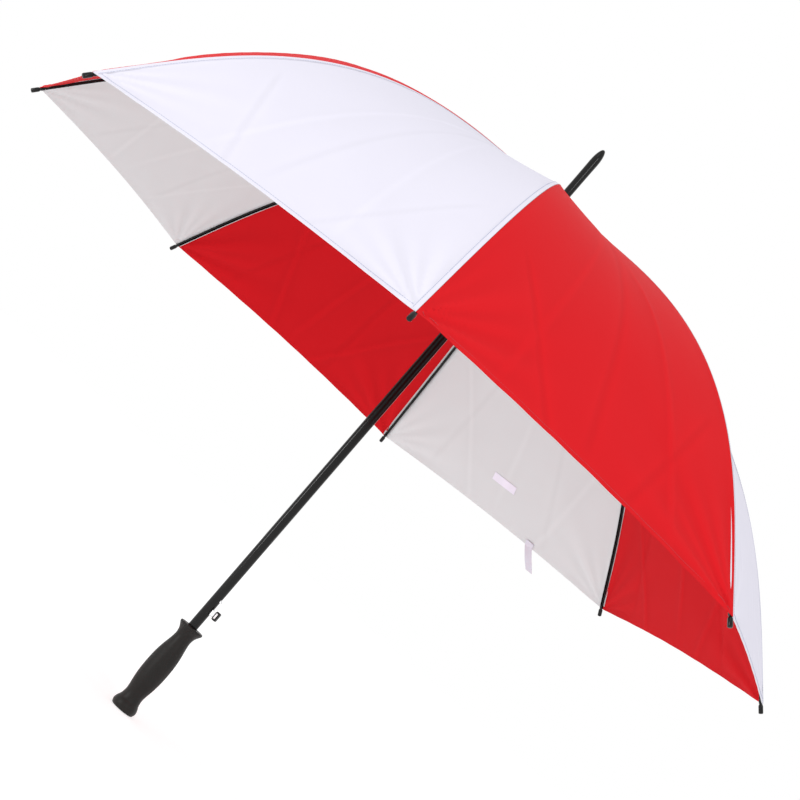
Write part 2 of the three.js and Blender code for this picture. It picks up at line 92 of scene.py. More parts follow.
# %% Camera
CAMERA_PLACE = Vector((0.1227, -2.1925, 0.3009))
LENS, SENSOR_WIDTH = 74.9, 36       # millimetres
CAMERA_TURN, CAMERA_RISE, CAMERA_ROLL = (math.radians(a) for a in (-2.906, 6.223, 40.81))
forward = Vector((math.sin(CAMERA_TURN) * math.cos(CAMERA_RISE),
                  math.cos(CAMERA_TURN) * math.cos(CAMERA_RISE), math.sin(CAMERA_RISE)))
level = forward.cross(Vector((0, 0, 1))).normalized()
right = level * math.cos(CAMERA_ROLL) + level.cross(forward) * math.sin(CAMERA_ROLL)
camera_data = bpy.data.cameras.new("camera")
camera_data.lens, camera_data.sensor_width = LENS, SENSOR_WIDTH
camera = bpy.data.objects.new("camera", camera_data)
bpy.context.collection.objects.link(camera)
axes = Matrix((right, right.cross(forward), -forward)).transposed()
camera.matrix_world = Matrix.Translation(CAMERA_PLACE) @ axes.to_4x4()
bpy.context.scene.camera = camera
print("camera looks along", tuple(round(c, 3) for c in forward))

# %% [markdown]
# ## Node graphs as Python expressions
# Shaders and Geometry Nodes are both graphs of sockets. `Value` wraps one socket, so that
# `1 - mask * 2` adds its Math nodes by itself. `Graph.node` makes any other node: its settings
# are set first, then its sockets get a number or a link.

# %% Values and graphs
class Value:
    def __init__(self, graph, socket):
        self.graph, self.socket = graph, socket

    def _math(self, operation, first, second=0.0):
        return self.graph.node("ShaderNodeMath", {"operation": operation}, {0: first, 1: second})

    def __add__(self, other): return self._math("ADD", self, other)
    def __radd__(self, other): return self._math("ADD", other, self)
    def __sub__(self, other): return self._math("SUBTRACT", self, other)
    def __rsub__(self, other): return self._math("SUBTRACT", other, self)
    def __mul__(self, other): return self._math("MULTIPLY", self, other)
    def __rmul__(self, other): return self._math("MULTIPLY", other, self)
    def __truediv__(self, other): return self._math("DIVIDE", self, other)
    def __rtruediv__(self, other): return self._math("DIVIDE", other, self)
    def sine(self): return self._math("SINE", self)


class Graph:
    def __init__(self, tree):
        self.tree = tree

    def node(self, kind, settings=None, sockets=None, out=0):
        made = self.tree.nodes.new(kind)
        for name, value in (settings or {}).items():
            setattr(made, name, value)
        for key, value in (sockets or {}).items():
            if isinstance(value, Value):
                self.tree.links.new(value.socket, made.inputs[key])
            else:
                made.inputs[key].default_value = value
        return Value(self, made.outputs[out] if made.outputs else None)

    def noise(self, where, scale, detail=2.0):
        sockets = {"Vector": where, "Scale": scale, "Detail": detail}
        return self.node("ShaderNodeTexNoise", None, sockets)

    def mix(self, share, first, second):
        return self.node("ShaderNodeMix", {"data_type": "RGBA"}, {0: share, 6: first, 7: second}, 2)

    def bump(self, height, distance, strength=1.0, normal=None):
        sockets = {"Height": height, "Distance": distance, "Strength": strength}
        if normal is not None:
            sockets["Normal"] = normal
        return self.node("ShaderNodeBump", None, sockets)


def surface(name, build):
    """A material whose Principled sockets come from the dictionary that build(graph) returns."""
    made = bpy.data.materials.new(name)
    made.use_nodes = True
    made.node_tree.nodes.clear()
    graph = Graph(made.node_tree)
    shader = graph.node("ShaderNodeBsdfPrincipled", None, build(graph))
    graph.node("ShaderNodeOutputMaterial", None, {"Surface": shader})
    print("material", name, "has", len(made.node_tree.nodes), "nodes")
    return made


def rgb(red, green, blue):
    return (red, green, blue, 1.0)


# %% [markdown]
# ## A studio of pale paper
# The floor is one wide pale sheet under the handle, and the world around it is as pale, so the
# rolled camera sees no horizon. A square lamp above the canopy shapes the cloth. Two upright
# strip lamps draw a bright line down every glossy tube: a low one at the left for the shaft under
# the canopy, and a high one for the ferrule above it.

# %% Floor, world and lamps
def pale(graph):
    place = graph.node("ShaderNodeTexCoord", out="Object")
    grain = graph.noise(place, 40.0)
    return {"Base Color": graph.mix(grain * 0.3, rgb(0.5, 0.5, 0.5), rgb(0.48, 0.48, 0.48)),
            "Roughness": 0.9, "Specular IOR Level": 0.0,
            "Emission Color": rgb(1.0, 1.0, 1.0), "Emission Strength": 0.66}


FLOOR_R, FLOOR_SIDES = 40.0, 64
FLOOR_Z = -0.0005                   # just under the flat end of the handle
floor_mesh = bpy.data.meshes.new("floor")
ring = [(FLOOR_R * math.cos(a), FLOOR_R * math.sin(a), FLOOR_Z)
        for a in np.linspace(0, 2 * math.pi, FLOOR_SIDES, endpoint=False)]
floor_mesh.from_pydata(ring, [], [tuple(range(FLOOR_SIDES))])
floor = bpy.data.objects.new("floor", floor_mesh)
bpy.context.collection.objects.link(floor)
floor_mesh.materials.append(surface("pale_paper", pale))

world = bpy.data.worlds.new("studio")
bpy.context.scene.world = world
world.use_nodes = True
backdrop = world.node_tree.nodes["Background"]
backdrop.inputs["Color"].default_value = rgb(1.0, 1.0, 1.0)
backdrop.inputs["Strength"].default_value = 1.0
bpy.context.scene.view_settings.view_transform = "Standard"


def lamp(name, place, target, wide, tall, power):
    data = bpy.data.lights.new(name, "AREA")
    data.shape, data.size, data.size_y, data.energy = "RECTANGLE", wide, tall, power
    made = bpy.data.objects.new(name, data)
    bpy.context.collection.objects.link(made)
    made.location = place
    made.rotation_euler = (Vector(target) - Vector(place)).to_track_quat("-Z", "Y").to_euler()


lamp("key", (-2.0, -2.6, 3.2), (0, 0, 0.7), 1.0, 1.0, 5)
lamp("left_strip", (-2.3, -1.9, 0.55), (0, 0, 0.45), 0.35, 1.3, 20)
lamp("high_strip", (1.1, -2.8, 1.9), (0, 0, 0.95), 0.3, 0.9, 11)
print("studio lit")

# %% [markdown]
# ## Finishes
# Cloth is woven: two sets of fine threads cross, so its bump is a product of two waves that
# follow the cut of each panel, carried by its UV map in metres. The `inside` attribute marks
# the underside, which is painted in its own copy of each colour: painted light for cloth lit
# through from above, the red darker and the white less blue. Steel tubes are dipped in black enamel,
# which is a smooth coat with a faint orange-peel ripple. Moulded plastic is duller, with grain.

# %% Cloth
THREAD_PITCH = 0.9 * MM
FOLD_SHADE = 0.06                    # painted shade: the hollow of a fold is darkened by this share


def weave(graph, outer, inner, speck):
    cut = graph.node("ShaderNodeUVMap", {"uv_map": "Cut"})
    across = graph.node("ShaderNodeSeparateXYZ", None, {0: cut}, 0)
    along = graph.node("ShaderNodeSeparateXYZ", None, {0: cut}, 1)
    wave = 2 * math.pi / THREAD_PITCH
    threads = (across * wave).sine() * (along * wave).sine()
    inside = graph.node("ShaderNodeAttribute", {"attribute_name": "inside"}, out="Fac")
    drift = graph.noise(cut, 7.0, 3.0)
    grain = graph.noise(cut, 900.0)
    # painted light: the underside takes its own shaded copy of the colour
    tone = graph.mix(inside, outer, inner)
    fold = graph.node("ShaderNodeAttribute", {"attribute_name": "fold"}, out="Fac")
    shade = graph.mix(drift * 0.35 + grain * 0.2, tone, graph.mix(speck, tone, rgb(0, 0, 0)))
    # painted shade: the colour darkens in the hollows of the wrinkles, by the fold attribute
    shade = graph.mix(0.5 + fold * 0.5, shade, graph.mix(FOLD_SHADE, shade, rgb(0, 0, 0)))
    rumple = graph.bump(graph.noise(cut, 60.0, 4.0), 0.6 * MM, 0.35)
    return {"Base Color": shade, "Roughness": 0.58 + grain * 0.16,
            "Normal": graph.bump(threads, 0.02 * MM, 0.5, rumple),
            "Specular IOR Level": 0.08}


# the underside colours are painted light: the red darker, the white less blue, for cloth lit through from
# above
RED, RED_PAINTED_UNDERSIDE = rgb(0.66, 0.008, 0.013), rgb(0.60, 0.006, 0.011)
WHITE, WHITE_PAINTED_UNDERSIDE = rgb(0.715, 0.70, 0.79), rgb(0.70, 0.715, 0.73)
red_cloth = surface("red_cloth", lambda g: weave(g, RED, RED_PAINTED_UNDERSIDE, 0.14))
white_cloth = surface("white_cloth", lambda g: weave(g, WHITE, WHITE_PAINTED_UNDERSIDE, 0.07))
LABEL_WHITE = rgb(0.86, 0.83, 0.95)     # the smooth satin of a care label
label_cloth = surface("label_cloth", lambda g: weave(g, LABEL_WHITE, LABEL_WHITE, 0.04))


def thread_finish(graph, colour):
    place = graph.node("ShaderNodeTexCoord", out="Object")
    twist = graph.noise(place, 2500.0)
    return {"Base Color": graph.mix(twist * 0.4, colour, rgb(0.2, 0.2, 0.24)),
            "Roughness": 0.7, "Normal": graph.bump(twist, 0.05 * MM, 0.6)}


white_thread = surface("white_thread", lambda g: thread_finish(g, rgb(0.40, 0.45, 0.60)))
red_thread = surface("red_thread", lambda g: thread_finish(g, rgb(0.5, 0.012, 0.02)))

# %% Metal and plastic
def hard_finish(graph, colour, rough, spread, grain_scale, grain_depth, **constants):
    place = graph.node("ShaderNodeTexCoord", out="Object")
    grain = graph.noise(place, grain_scale, 3.0)
    smudge = graph.noise(place, 35.0, 4.0)
    lighter = tuple(min(1.0, c * 1.5 + 0.004) for c in colour[:3]) + (1.0,)
    named = {key.replace("_", " "): value for key, value in constants.items()}
    return {"Base Color": graph.mix(smudge * 0.5, colour, lighter),
            "Roughness": rough + smudge * spread,
            "Normal": graph.bump(grain, grain_depth, 0.5), **named}


enamel = surface("black_baked_enamel", lambda g: hard_finish(
    g, rgb(0.003, 0.003, 0.003), 0.12, 0.04, 160.0, 0.02 * MM, Specular_IOR_Level=0.26))
steel = surface("spring_steel", lambda g: hard_finish(
    g, rgb(0.42, 0.42, 0.43), 0.24, 0.2, 900.0, 0.02 * MM, Metallic=1.0))
plastic = surface("black_plastic", lambda g: hard_finish(
    g, rgb(0.003, 0.003, 0.003), 0.10, 0.06, 500.0, 0.02 * MM, Specular_IOR_Level=0.26))
grip_plastic = surface("handle_plastic", lambda g: hard_finish(
    g, rgb(0.010, 0.009, 0.008), 0.34, 0.2, 1400.0, 0.06 * MM, Specular_IOR_Level=0.22))
# pale plastic for the pads that paint the button's highlight
pad_highlight_plastic = surface("pale_plastic", lambda g: hard_finish(
    g, rgb(0.74, 0.74, 0.76), 0.3, 0.1, 700.0, 0.02 * MM))

# %% [markdown]
# ## Shapes from numbers
# Most hard parts are turned: a profile of radius and height swept round the shaft. The rest are
# rings of points joined into a skin. A shape here is a pair, points and faces, so that several
# can be merged before they become one object. A signed volume tells whether faces point out.

# %% Shapes
def merged(*shapes):
    points, faces = [], []
    for some, more in shapes:
        faces += [tuple(i + len(points) for i in f) for f in more]
        points += [tuple(p) for p in some]
    return points, faces


def placed(shape, matrix):
    return [tuple(matrix @ Vector(p)) for p in shape[0]], shape[1]


def skin(rings, looped=False, capped=True):
    """Joins rings of equal length. looped joins the last ring to the first."""
    count, size = len(rings), len(rings[0])
    points = [tuple(p) for one in rings for p in one]
    faces = []
    for i in range(count if looped else count - 1):
        j = (i + 1) % count
        for a in range(size):
            b = (a + 1) % size
            faces.append((i * size + a, i * size + b, j * size + b, j * size + a))
    if capped and not looped:
        faces += [tuple(reversed(range(size))), tuple(range((count - 1) * size, count * size))]
    return points, faces


def turned(profile, sides=64):
    """A profile of (radius, height) turned round Z. It starts and ends on the axis, or is a loop."""
    angles = np.linspace(0, 2 * math.pi, sides, endpoint=False)
    solid = profile[0][0] == 0
    inner = profile[1:-1] if solid else profile
    rings = [[(r * math.cos(a), r * math.sin(a), z) for a in angles] for r, z in inner]
    points, faces = skin(rings, looped=not solid, capped=False)
    if solid:
        for (r, z), first in ((profile[0], 0), (profile[-1], (len(inner) - 1) * sides)):
            tip = len(points)
            points.append((0, 0, z))
            around = [(first + a, first + (a + 1) % sides, tip) for a in range(sides)]
            faces += [f[::-1] for f in around] if first == 0 else around
    return points, faces


def eased(profile, radius, steps=3, loop=False):
    """Rounds the corners of a profile by up to that radius."""
    out = []
    count = len(profile)
    for i, here in enumerate(profile):
        if not loop and i in (0, count - 1):
            out.append(here)
            continue
        p, a, b = (Vector(profile[j % count]) for j in (i, i - 1, i + 1))
        to_a, to_b = a - p, b - p
        room = min(radius, to_a.length * 0.45, to_b.length * 0.45)
        start, end = p + to_a.normalized() * room, p + to_b.normalized() * room
        for t in np.linspace(0, 1, steps + 1):
            out.append(tuple(start * (1 - t) ** 2 + p * 2 * t * (1 - t) + end * t * t))
    return out


def block(size, place, radius=0.3 * MM):
    """A box with eased long edges, its long side along Z."""
    x, y, z = (s / 2 for s in size)
    outline = eased([(-x, -y), (x, -y), (x, y), (-x, y)], radius, loop=True)
    levels = [(-z, 0.0), (-z + radius, 1.0), (z - radius, 1.0), (z, 0.0)]
    rings = [[(px - math.copysign(radius * (1 - full), px), py - math.copysign(radius * (1 - full), py), h)
              for px, py in outline] for h, full in levels]
    return placed(skin(rings), Matrix.Translation(place))


def piece(name, shape, material, smooth_below=40):
    mesh = bpy.data.meshes.new(name)
    mesh.from_pydata([tuple(p) for p in shape[0]], [], shape[1])
    mesh.materials.append(material)
    mesh.update()
    made = bpy.data.objects.new(name, mesh)
    bpy.context.collection.objects.link(made)
    return finished(made, smooth_below)


def finished(made, smooth_below=40):
    """Turns the faces outward and sets smooth shading with sharp edges."""
    mesh = made.data
    mesh.calc_loop_triangles()
    co = np.empty(len(mesh.vertices) * 3)
    mesh.vertices.foreach_get("co", co)
    co = co.reshape(-1, 3)
    tri = np.array([t.vertices for t in mesh.loop_triangles])
    a, b, c = co[tri[:, 0]], co[tri[:, 1]], co[tri[:, 2]]
    if np.einsum("ij,ij->i", a, np.cross(b, c)).sum() < 0:
        mesh.flip_normals()
    mesh.shade_smooth()
    mesh.set_sharp_from_angle(angle=math.radians(smooth_below))
    print(f"{made.name}: {len(tri)} triangles")
    return made


def azimuth(k):
    return (k - 1) * STEP


def spun(shape, k):
    return placed(shape, Matrix.Rotation(azimuth(k), 4, "Z"))


# %% [markdown]
# ## Geometry Nodes recipes
# A recipe is a small node tree with named inputs. It grows on a start object, whose mesh is a
# path or a body, and the result is kept as a plain mesh. Three are used: a sweep that draws a
# section along a path, stitches that repeat along a path, and notches cut round an axis.

# %% Recipes
class Recipe:
    def __init__(self, name, **inputs):
        self.tree = bpy.data.node_groups.new(name, "GeometryNodeTree")
        made = self.tree.interface.new_socket
        made("Geometry", in_out="INPUT", socket_type="NodeSocketGeometry")
        made("Geometry", in_out="OUTPUT", socket_type="NodeSocketGeometry")
        self.ids = {label: made(label, in_out="INPUT", socket_type="NodeSocket" + kind).identifier
                    for label, kind in {**inputs, "Material": "Material"}.items()}
        self.graph = Graph(self.tree)
        self.given = self.tree.nodes.new("NodeGroupInput")

    def __getitem__(self, label):
        return Value(self.graph, self.given.outputs[label])

    def end(self, geometry):
        whole = self.graph.node("GeometryNodeRealizeInstances", None, {"Geometry": geometry})
        painted = self.graph.node("GeometryNodeSetMaterial", None,
                                  {"Geometry": whole, "Material": self["Material"]})
        self.graph.node("NodeGroupOutput", None, {"Geometry": painted})
        print("recipe", self.tree.name, "has", len(self.tree.nodes), "nodes")

    def grow(self, name, start, slot, **values):
        """start is a list of path points, or a shape of points and faces."""
        mesh = bpy.data.meshes.new(name)
        if isinstance(start, tuple):
            mesh.from_pydata([tuple(p) for p in start[0]], [], start[1])
        else:
            mesh.from_pydata([tuple(p) for p in start], [(i, i + 1) for i in range(len(start) - 1)], [])
        made = bpy.data.objects.new(name, mesh)
        modifier = made.modifiers.new("recipe", "NODES")
        modifier.node_group = self.tree
        for label, value in values.items():
            modifier[self.ids[label]] = value
        bpy.context.collection.objects.link(made)
        bpy.context.view_layer.update()
        shown = made.evaluated_get(bpy.context.evaluated_depsgraph_get())
        grown = bpy.data.meshes.new_from_object(shown)
        made.modifiers.clear()
        made.data = grown
        if not grown.materials:
            grown.materials.append(values["Material"])
        return finished(made)


# %% The sweep, the stitches and the notches
sweep = Recipe("sweep", Section="Object")
g = sweep.graph
path = g.node("GeometryNodeMeshToCurve", None, {"Mesh": sweep["Geometry"]})
path = g.node("GeometryNodeSetCurveNormal", {"mode": "Z_UP"}, {"Curve": path})
section = g.node("GeometryNodeObjectInfo", None, {"Object": sweep["Section"]}, "Geometry")
section = g.node("GeometryNodeMeshToCurve", None, {"Mesh": section})
sweep.end(g.node("GeometryNodeCurveToMesh", None,
                 {"Curve": path, "Profile Curve": section, "Fill Caps": True}))

stitches = Recipe("stitches", Pitch="Float", Length="Float", Thickness="Float", Seed="Int")
g = stitches.graph
path = g.node("GeometryNodeMeshToCurve", None, {"Mesh": stitches["Geometry"]})
points = g.node("GeometryNodeCurveToPoints", {"mode": "LENGTH"},
                {"Curve": path, "Length": stitches["Pitch"]})
facing = Value(g, points.socket.node.outputs["Rotation"])
wobble = g.node("FunctionNodeRandomValue", {"data_type": "FLOAT"},
                {"Min": 0.85, "Max": 1.1, "Seed": stitches["Seed"]}, 1)
capsule = g.node("GeometryNodeMeshCylinder", None,
                 {"Vertices": 6, "Radius": stitches["Thickness"], "Depth": stitches["Length"]})
scale = g.node("ShaderNodeCombineXYZ", None, {0: 1.0, 1: 1.0, 2: wobble})
stitches.end(g.node("GeometryNodeInstanceOnPoints", None,
                    {"Points": points, "Instance": capsule, "Rotation": facing, "Scale": scale}))

notches = Recipe("notches", Count="Int", Width="Float", Depth="Float", Height="Float",
                 Reach="Float", Middle="Float")
g = notches.graph
spots = g.node("GeometryNodeMeshCircle", None,
               {"Vertices": notches["Count"], "Radius": notches["Reach"]})
size = g.node("ShaderNodeCombineXYZ", None,
              {0: notches["Depth"], 1: notches["Width"], 2: notches["Height"]})
cutter = g.node("GeometryNodeMeshCube", None, {"Size": size})
count = g.node("GeometryNodeInputIndex")
turn = g.node("ShaderNodeCombineXYZ", None, {2: count * (2 * math.pi) / notches["Count"]})
cutters = g.node("GeometryNodeInstanceOnPoints", None,
                 {"Points": spots, "Instance": cutter, "Rotation": turn})
lift = g.node("ShaderNodeCombineXYZ", None, {2: notches["Middle"]})
cutters = g.node("GeometryNodeTransform", None, {"Geometry": cutters, "Translation": lift})
cutters = g.node("GeometryNodeRealizeInstances", None, {"Geometry": cutters})
notches.end(g.node("GeometryNodeMeshBoolean", {"operation": "DIFFERENCE"},
                   {"Mesh 1": notches["Geometry"], "Mesh 2": cutters}))


def section_object(name, outline):
    """A closed outline in XY, kept out of the render, for the sweep to draw along a path."""
    mesh = bpy.data.meshes.new(name)
    count = len(outline)
    mesh.from_pydata([(x, y, 0) for x, y in outline], [(i, (i + 1) % count) for i in range(count)], [])
    return bpy.data.objects.new(name, mesh)


# %% [markdown]
# ## The shaft
# The shaft is one steel tube, enamelled black. It is turned with its bore, because the lower
# end sits in the handle and the upper end takes the spigot of the ferrule.

# %% Shaft
low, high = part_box("shaft_tube")
SHAFT_R, SHAFT_WALL = high[0], 0.7 * MM
GAP = 0.3 * MM                      # between neighbours that touch or rest on each other
shaft_loop = eased([(SHAFT_R - SHAFT_WALL, low[2]), (SHAFT_R, low[2]), (SHAFT_R, high[2]),
                    (SHAFT_R - SHAFT_WALL, high[2])], 0.2 * MM, loop=True)
shaft = piece("enamelled_shaft", turned(shaft_loop, 96), enamel)
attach(shaft, "shaft")
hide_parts("shaft_tube")

# %% [markdown]
# ## The handle
# A moulded handle that swells in the palm. Its belly is covered with small raised diamonds for
# grip, which are real relief: the radius rises and falls with two waves that wind round the
# handle in opposite directions. The relief fades out before the smooth ends.

# %% Handle
grip_low, grip_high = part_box("handle_grip")
GRIP_LENGTH = grip_high[2] - grip_low[2]
SOCKET_R, SOCKET_LOW = SHAFT_R + GAP, 15.7 * MM
cap_r, _, cap_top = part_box("handle_end_cap")[1]
CAP_R, CAP_TOP = cap_r + GAP, cap_top + GAP
# height as a share of the length, and radius in millimetres
GRIP_OUTLINE = [(0.0, 14.3), (0.010, 16.6), (0.026, 17.8), (0.045, 18.15), (0.064, 17.7), (0.085, 16.7),
                (0.11, 15.0), (0.14, 13.95), (0.18, 13.45), (0.22, 13.9), (0.27, 15.05), (0.33, 16.3),
                (0.39, 17.1), (0.45, 17.5), (0.51, 17.58), (0.585, 17.3), (0.66, 16.4), (0.73, 14.9),
                (0.79, 13.3), (0.83, 12.4), (0.87, 12.0), (0.90, 12.5), (0.93, 13.8), (0.96, 16.2),
                (0.98, 17.8), (0.992, 17.9), (1.0, 17.0)]
DIAMOND, RELIEF = 2.9 * MM, 0.36 * MM
GRIP_SIDES, GRIP_ROWS = 228, 210


def smooth_curve(knots, at):
    """A cubic through the knots whose slopes are the mean of the steps beside each knot."""
    x, y = (np.array(c, float) for c in zip(*knots))
    slope = np.gradient(y, x)
    i = np.clip(np.searchsorted(x, at) - 1, 0, len(x) - 2)
    h = x[i + 1] - x[i]
    t = (at - x[i]) / h
    return ((2 * t**3 - 3 * t**2 + 1) * y[i] + (t**3 - 2 * t**2 + t) * h * slope[i]
            + (3 * t**2 - 2 * t**3) * y[i + 1] + (t**3 - t**2) * h * slope[i + 1])


def smooth_step(edge0, edge1, x):
    t = np.clip((x - edge0) / (edge1 - edge0), 0, 1)
    return t * t * (3 - 2 * t)


shares = np.linspace(0.012, 0.990, GRIP_ROWS)
radii = smooth_curve(GRIP_OUTLINE, shares) * MM
turns = round(2 * math.pi * radii.mean() / DIAMOND)
angles = np.linspace(0, 2 * math.pi, GRIP_SIDES, endpoint=False)
rings = []
for share, r in zip(shares, radii):
    z = share * GRIP_LENGTH
    wind = math.pi * z / DIAMOND
    wave = np.cos(angles * turns / 2 + wind) * np.cos(angles * turns / 2 - wind)
    fade = smooth_step(0.22, 0.26, share) * (1 - smooth_step(0.72, 0.76, share))
    rr = r + RELIEF * fade * (np.clip(np.abs(wave) * 1.6, 0, 1) - 1)
    rings.append([(q * math.cos(a), q * math.sin(a), z) for q, a in zip(rr, angles)])
plain = [(radii[-1] - 0.5 * MM, GRIP_LENGTH - 0.3 * MM), (radii[-1] - 1.6 * MM, GRIP_LENGTH),
         (SOCKET_R, GRIP_LENGTH), (SOCKET_R, SOCKET_LOW), (SOCKET_R - 2 * MM, SOCKET_LOW),
         (SOCKET_R - 2 * MM, CAP_TOP), (CAP_R, CAP_TOP), (CAP_R, 0.4 * MM), (CAP_R + 0.4 * MM, 0),
         (radii[0] - 1.4 * MM, 0), (radii[0] - 0.3 * MM, 0.6 * MM)]
rings += [[(r * math.cos(a), r * math.sin(a), z) for a in angles] for r, z in plain]
grip = piece("moulded_grip", skin(rings, looped=True), grip_plastic)
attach(grip, "shaft")
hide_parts("handle_grip")

plug = piece("end_plug", turned([(0, 0.8 * MM)] + eased(
    [(cap_r - 3.4 * MM, 0.8 * MM), (cap_r - 2.4 * MM, 0), (cap_r, 0), (cap_r, cap_top)],
    0.5 * MM) + [(0, cap_top)], 72), grip_plastic)
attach(plug, "shaft")
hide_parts("handle_end_cap")

# %% [markdown]
# ## The ferrule
# The glossy spike above the cloth is a turned plastic sleeve with a rounded nose and a spigot
# that plugs the tube. The slight swell before the nose is what catches the highlight.

# %% Ferrule
f_low, f_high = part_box("ferrule")
FERRULE_R = f_high[0]
shaft_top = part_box("shaft_tube")[1][2]
NOSE = 19 * MM
cone = f_high[2] - NOSE
spigot = SHAFT_R - SHAFT_WALL - GAP / 2
nose = [(0.985, 0.0), (0.955, 0.2), (0.87, 0.42), (0.75, 0.61), (0.60, 0.78), (0.43, 0.90),
        (0.23, 0.975)]
ferrule = piece("tip_ferrule", turned(
    [(0, f_low[2]), (spigot - 0.4 * MM, f_low[2]), (spigot, f_low[2] + 0.5 * MM),
     (spigot, shaft_top + GAP), (FERRULE_R - 0.3 * MM, shaft_top + GAP),
     (FERRULE_R - 0.2 * MM, shaft_top + 1 * MM), (FERRULE_R - 0.2 * MM, cone - 34 * MM),
     (FERRULE_R - 0.1 * MM, cone - 14 * MM), (FERRULE_R, cone - 5 * MM)]
    + [(FERRULE_R * share, cone + NOSE * height) for share, height in nose]
    + [(0, f_high[2])], 72), plastic)
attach(ferrule, "shaft")
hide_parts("ferrule")

# %% [markdown]
# ## Crown and runner
# The ribs hang from the crown and the stretchers push from the runner. Both are notched
# collars: eight slots, and in each slot the flat end of a rod threaded on a ring of wire.
# The `notches` recipe cuts the slots.

# %% Crown
HINGE_R, HINGE_Z = joint_at["rib_1_hinge"][0], joint_at["rib_1_hinge"][2]
TONGUE = 1.2 * MM                   # thickness of the flat ends that swing in the slots
c_low, c_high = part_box("crown")
neck = SHAFT_R + 1.6 * MM
bore = SHAFT_R + GAP
rim_r = c_high[0]
crown_top = c_high[2] - 4 * MM
crown_body = turned(eased([(bore, c_low[2]), (neck, c_low[2]), (neck, crown_top - 10 * MM),
                           (rim_r, crown_top - 10 * MM), (rim_r, crown_top),
                           (neck, c_high[2]), (bore, c_high[2])], 0.5 * MM, loop=True), 72)
crown = notches.grow("crown_notched", crown_body, "black_plastic", Count=RIB_COUNT,
                     Width=TONGUE + 2 * GAP, Depth=14 * MM, Height=16 * MM,
                     Reach=neck + 0.2 * MM + 7 * MM, Middle=crown_top - 4 * MM, Material=plastic)
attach(crown, "shaft")
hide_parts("crown")


def wire_ring(radius, wire, z, sides=96, around=12):
    loop = [(radius + wire * math.cos(a), z + wire * math.sin(a))
            for a in np.linspace(0, 2 * math.pi, around, endpoint=False)]
    return turned(loop, sides)


crown_ring = piece("crown_ring", wire_ring(HINGE_R, 0.6 * MM, HINGE_Z), steel)
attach(crown_ring, "shaft")
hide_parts("crown_wire")

# %% Runner
r_low, r_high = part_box("runner")
w_low, w_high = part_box("runner_wire")
PIVOT_Z, PIVOT_R = (w_low[2] + w_high[2]) / 2, w_high[0] - 0.5 * MM
ring_r, wall = r_high[0], 1.4 * MM
r_bore = SHAFT_R + 0.4 * MM
r_neck = r_bore + wall
half_ring, flange = 4.5 * MM, 12.5 * MM
runner_body = turned(eased([
    (r_bore, r_low[2]), (flange, r_low[2]), (flange, r_low[2] + 3 * MM),
    (r_neck + 0.6 * MM, r_low[2] + 7 * MM), (r_neck, PIVOT_Z - half_ring - 4 * MM),
    (ring_r, PIVOT_Z - half_ring), (ring_r, PIVOT_Z + half_ring),
    (r_neck + 0.8 * MM, PIVOT_Z + half_ring + 3 * MM), (r_neck, r_high[2]), (r_bore, r_high[2])],
    0.5 * MM, loop=True), 72)
runner = notches.grow("runner_notched", runner_body, "black_plastic", Count=RIB_COUNT,
                      Width=TONGUE + 2 * GAP, Depth=14 * MM, Height=42 * MM,
                      Reach=r_neck + 0.1 * MM + 7 * MM, Middle=PIVOT_Z - 6 * MM, Material=plastic)
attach(runner, "runner")
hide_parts("runner")
runner_ring = piece("runner_ring", wire_ring(PIVOT_R, 0.5 * MM, PIVOT_Z), steel)
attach(runner_ring, "runner")
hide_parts("runner_wire")

# %% [markdown]
# ## The opening spring
# A coil round the shaft, between runner and crown, pulls the runner up when the button is
# pressed. It is a spiral path drawn with a round section.

# %% Spring
s_low, s_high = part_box("opening_spring")
COIL_TURNS, COIL_WIRE = 26, 0.7 * MM
coil_r = s_high[0] - COIL_WIRE
spin = np.linspace(0, 2 * math.pi * COIL_TURNS, COIL_TURNS * 24 + 1)
rise = s_low[2] + COIL_WIRE + (s_high[2] - s_low[2] - 2 * COIL_WIRE) * spin / spin[-1]
coil_path = [(coil_r * math.cos(a), coil_r * math.sin(a), z) for a, z in zip(spin, rise)]
round_wire = section_object("round_wire", [(COIL_WIRE * math.cos(a), COIL_WIRE * math.sin(a))
                                           for a in np.linspace(0, 2 * math.pi, 8, endpoint=False)])
spring = sweep.grow("spring_coil", coil_path, "spring_steel", Section=round_wire, Material=steel)
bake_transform(spring)
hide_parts("opening_spring")

# %% [markdown]
# ## Button and catch
# The push button is a small black block that stands off the shaft above the handle on a flat
# steel stem. Pale pads on its flanks paint the bright highlight that its glossy sides show.
# Behind it a steel leaf carries the tooth that holds the runner down. All are blocks with eased
# edges, turned to their place round the shaft.

# %% Button and catch
b_low, b_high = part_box("release_button")
BUTTON_TURN = math.radians(-22.5)   # round the shaft, from rib 1
BUTTON_Z = (b_low[2] + b_high[2]) / 2
BUTTON_LONG = b_high[2] - b_low[2]
BUTTON_OUT, BUTTON_DEEP, BUTTON_WIDE = 19.6 * MM, 6.2 * MM, 6 * MM
STEM_REACH, STEM_WIDE, STEM_LONG, STEM_MIDDLE = 9.2 * MM, 2.8 * MM, 8 * MM, 9.4 * MM
to_button = Matrix.Rotation(BUTTON_TURN, 4, "Z")
button_block = block((BUTTON_DEEP, BUTTON_WIDE, BUTTON_LONG),
                     (BUTTON_OUT - BUTTON_DEEP / 2, 0, BUTTON_Z), 0.9 * MM)
button = piece("push_button", placed(button_block, to_button), plastic)
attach(button, "release_button")
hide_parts("release_button")
stem = piece("button_stem", placed(block((STEM_REACH, STEM_WIDE, STEM_LONG), (STEM_MIDDLE, 0, BUTTON_Z)),
             to_button), steel)
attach(stem, "release_button")
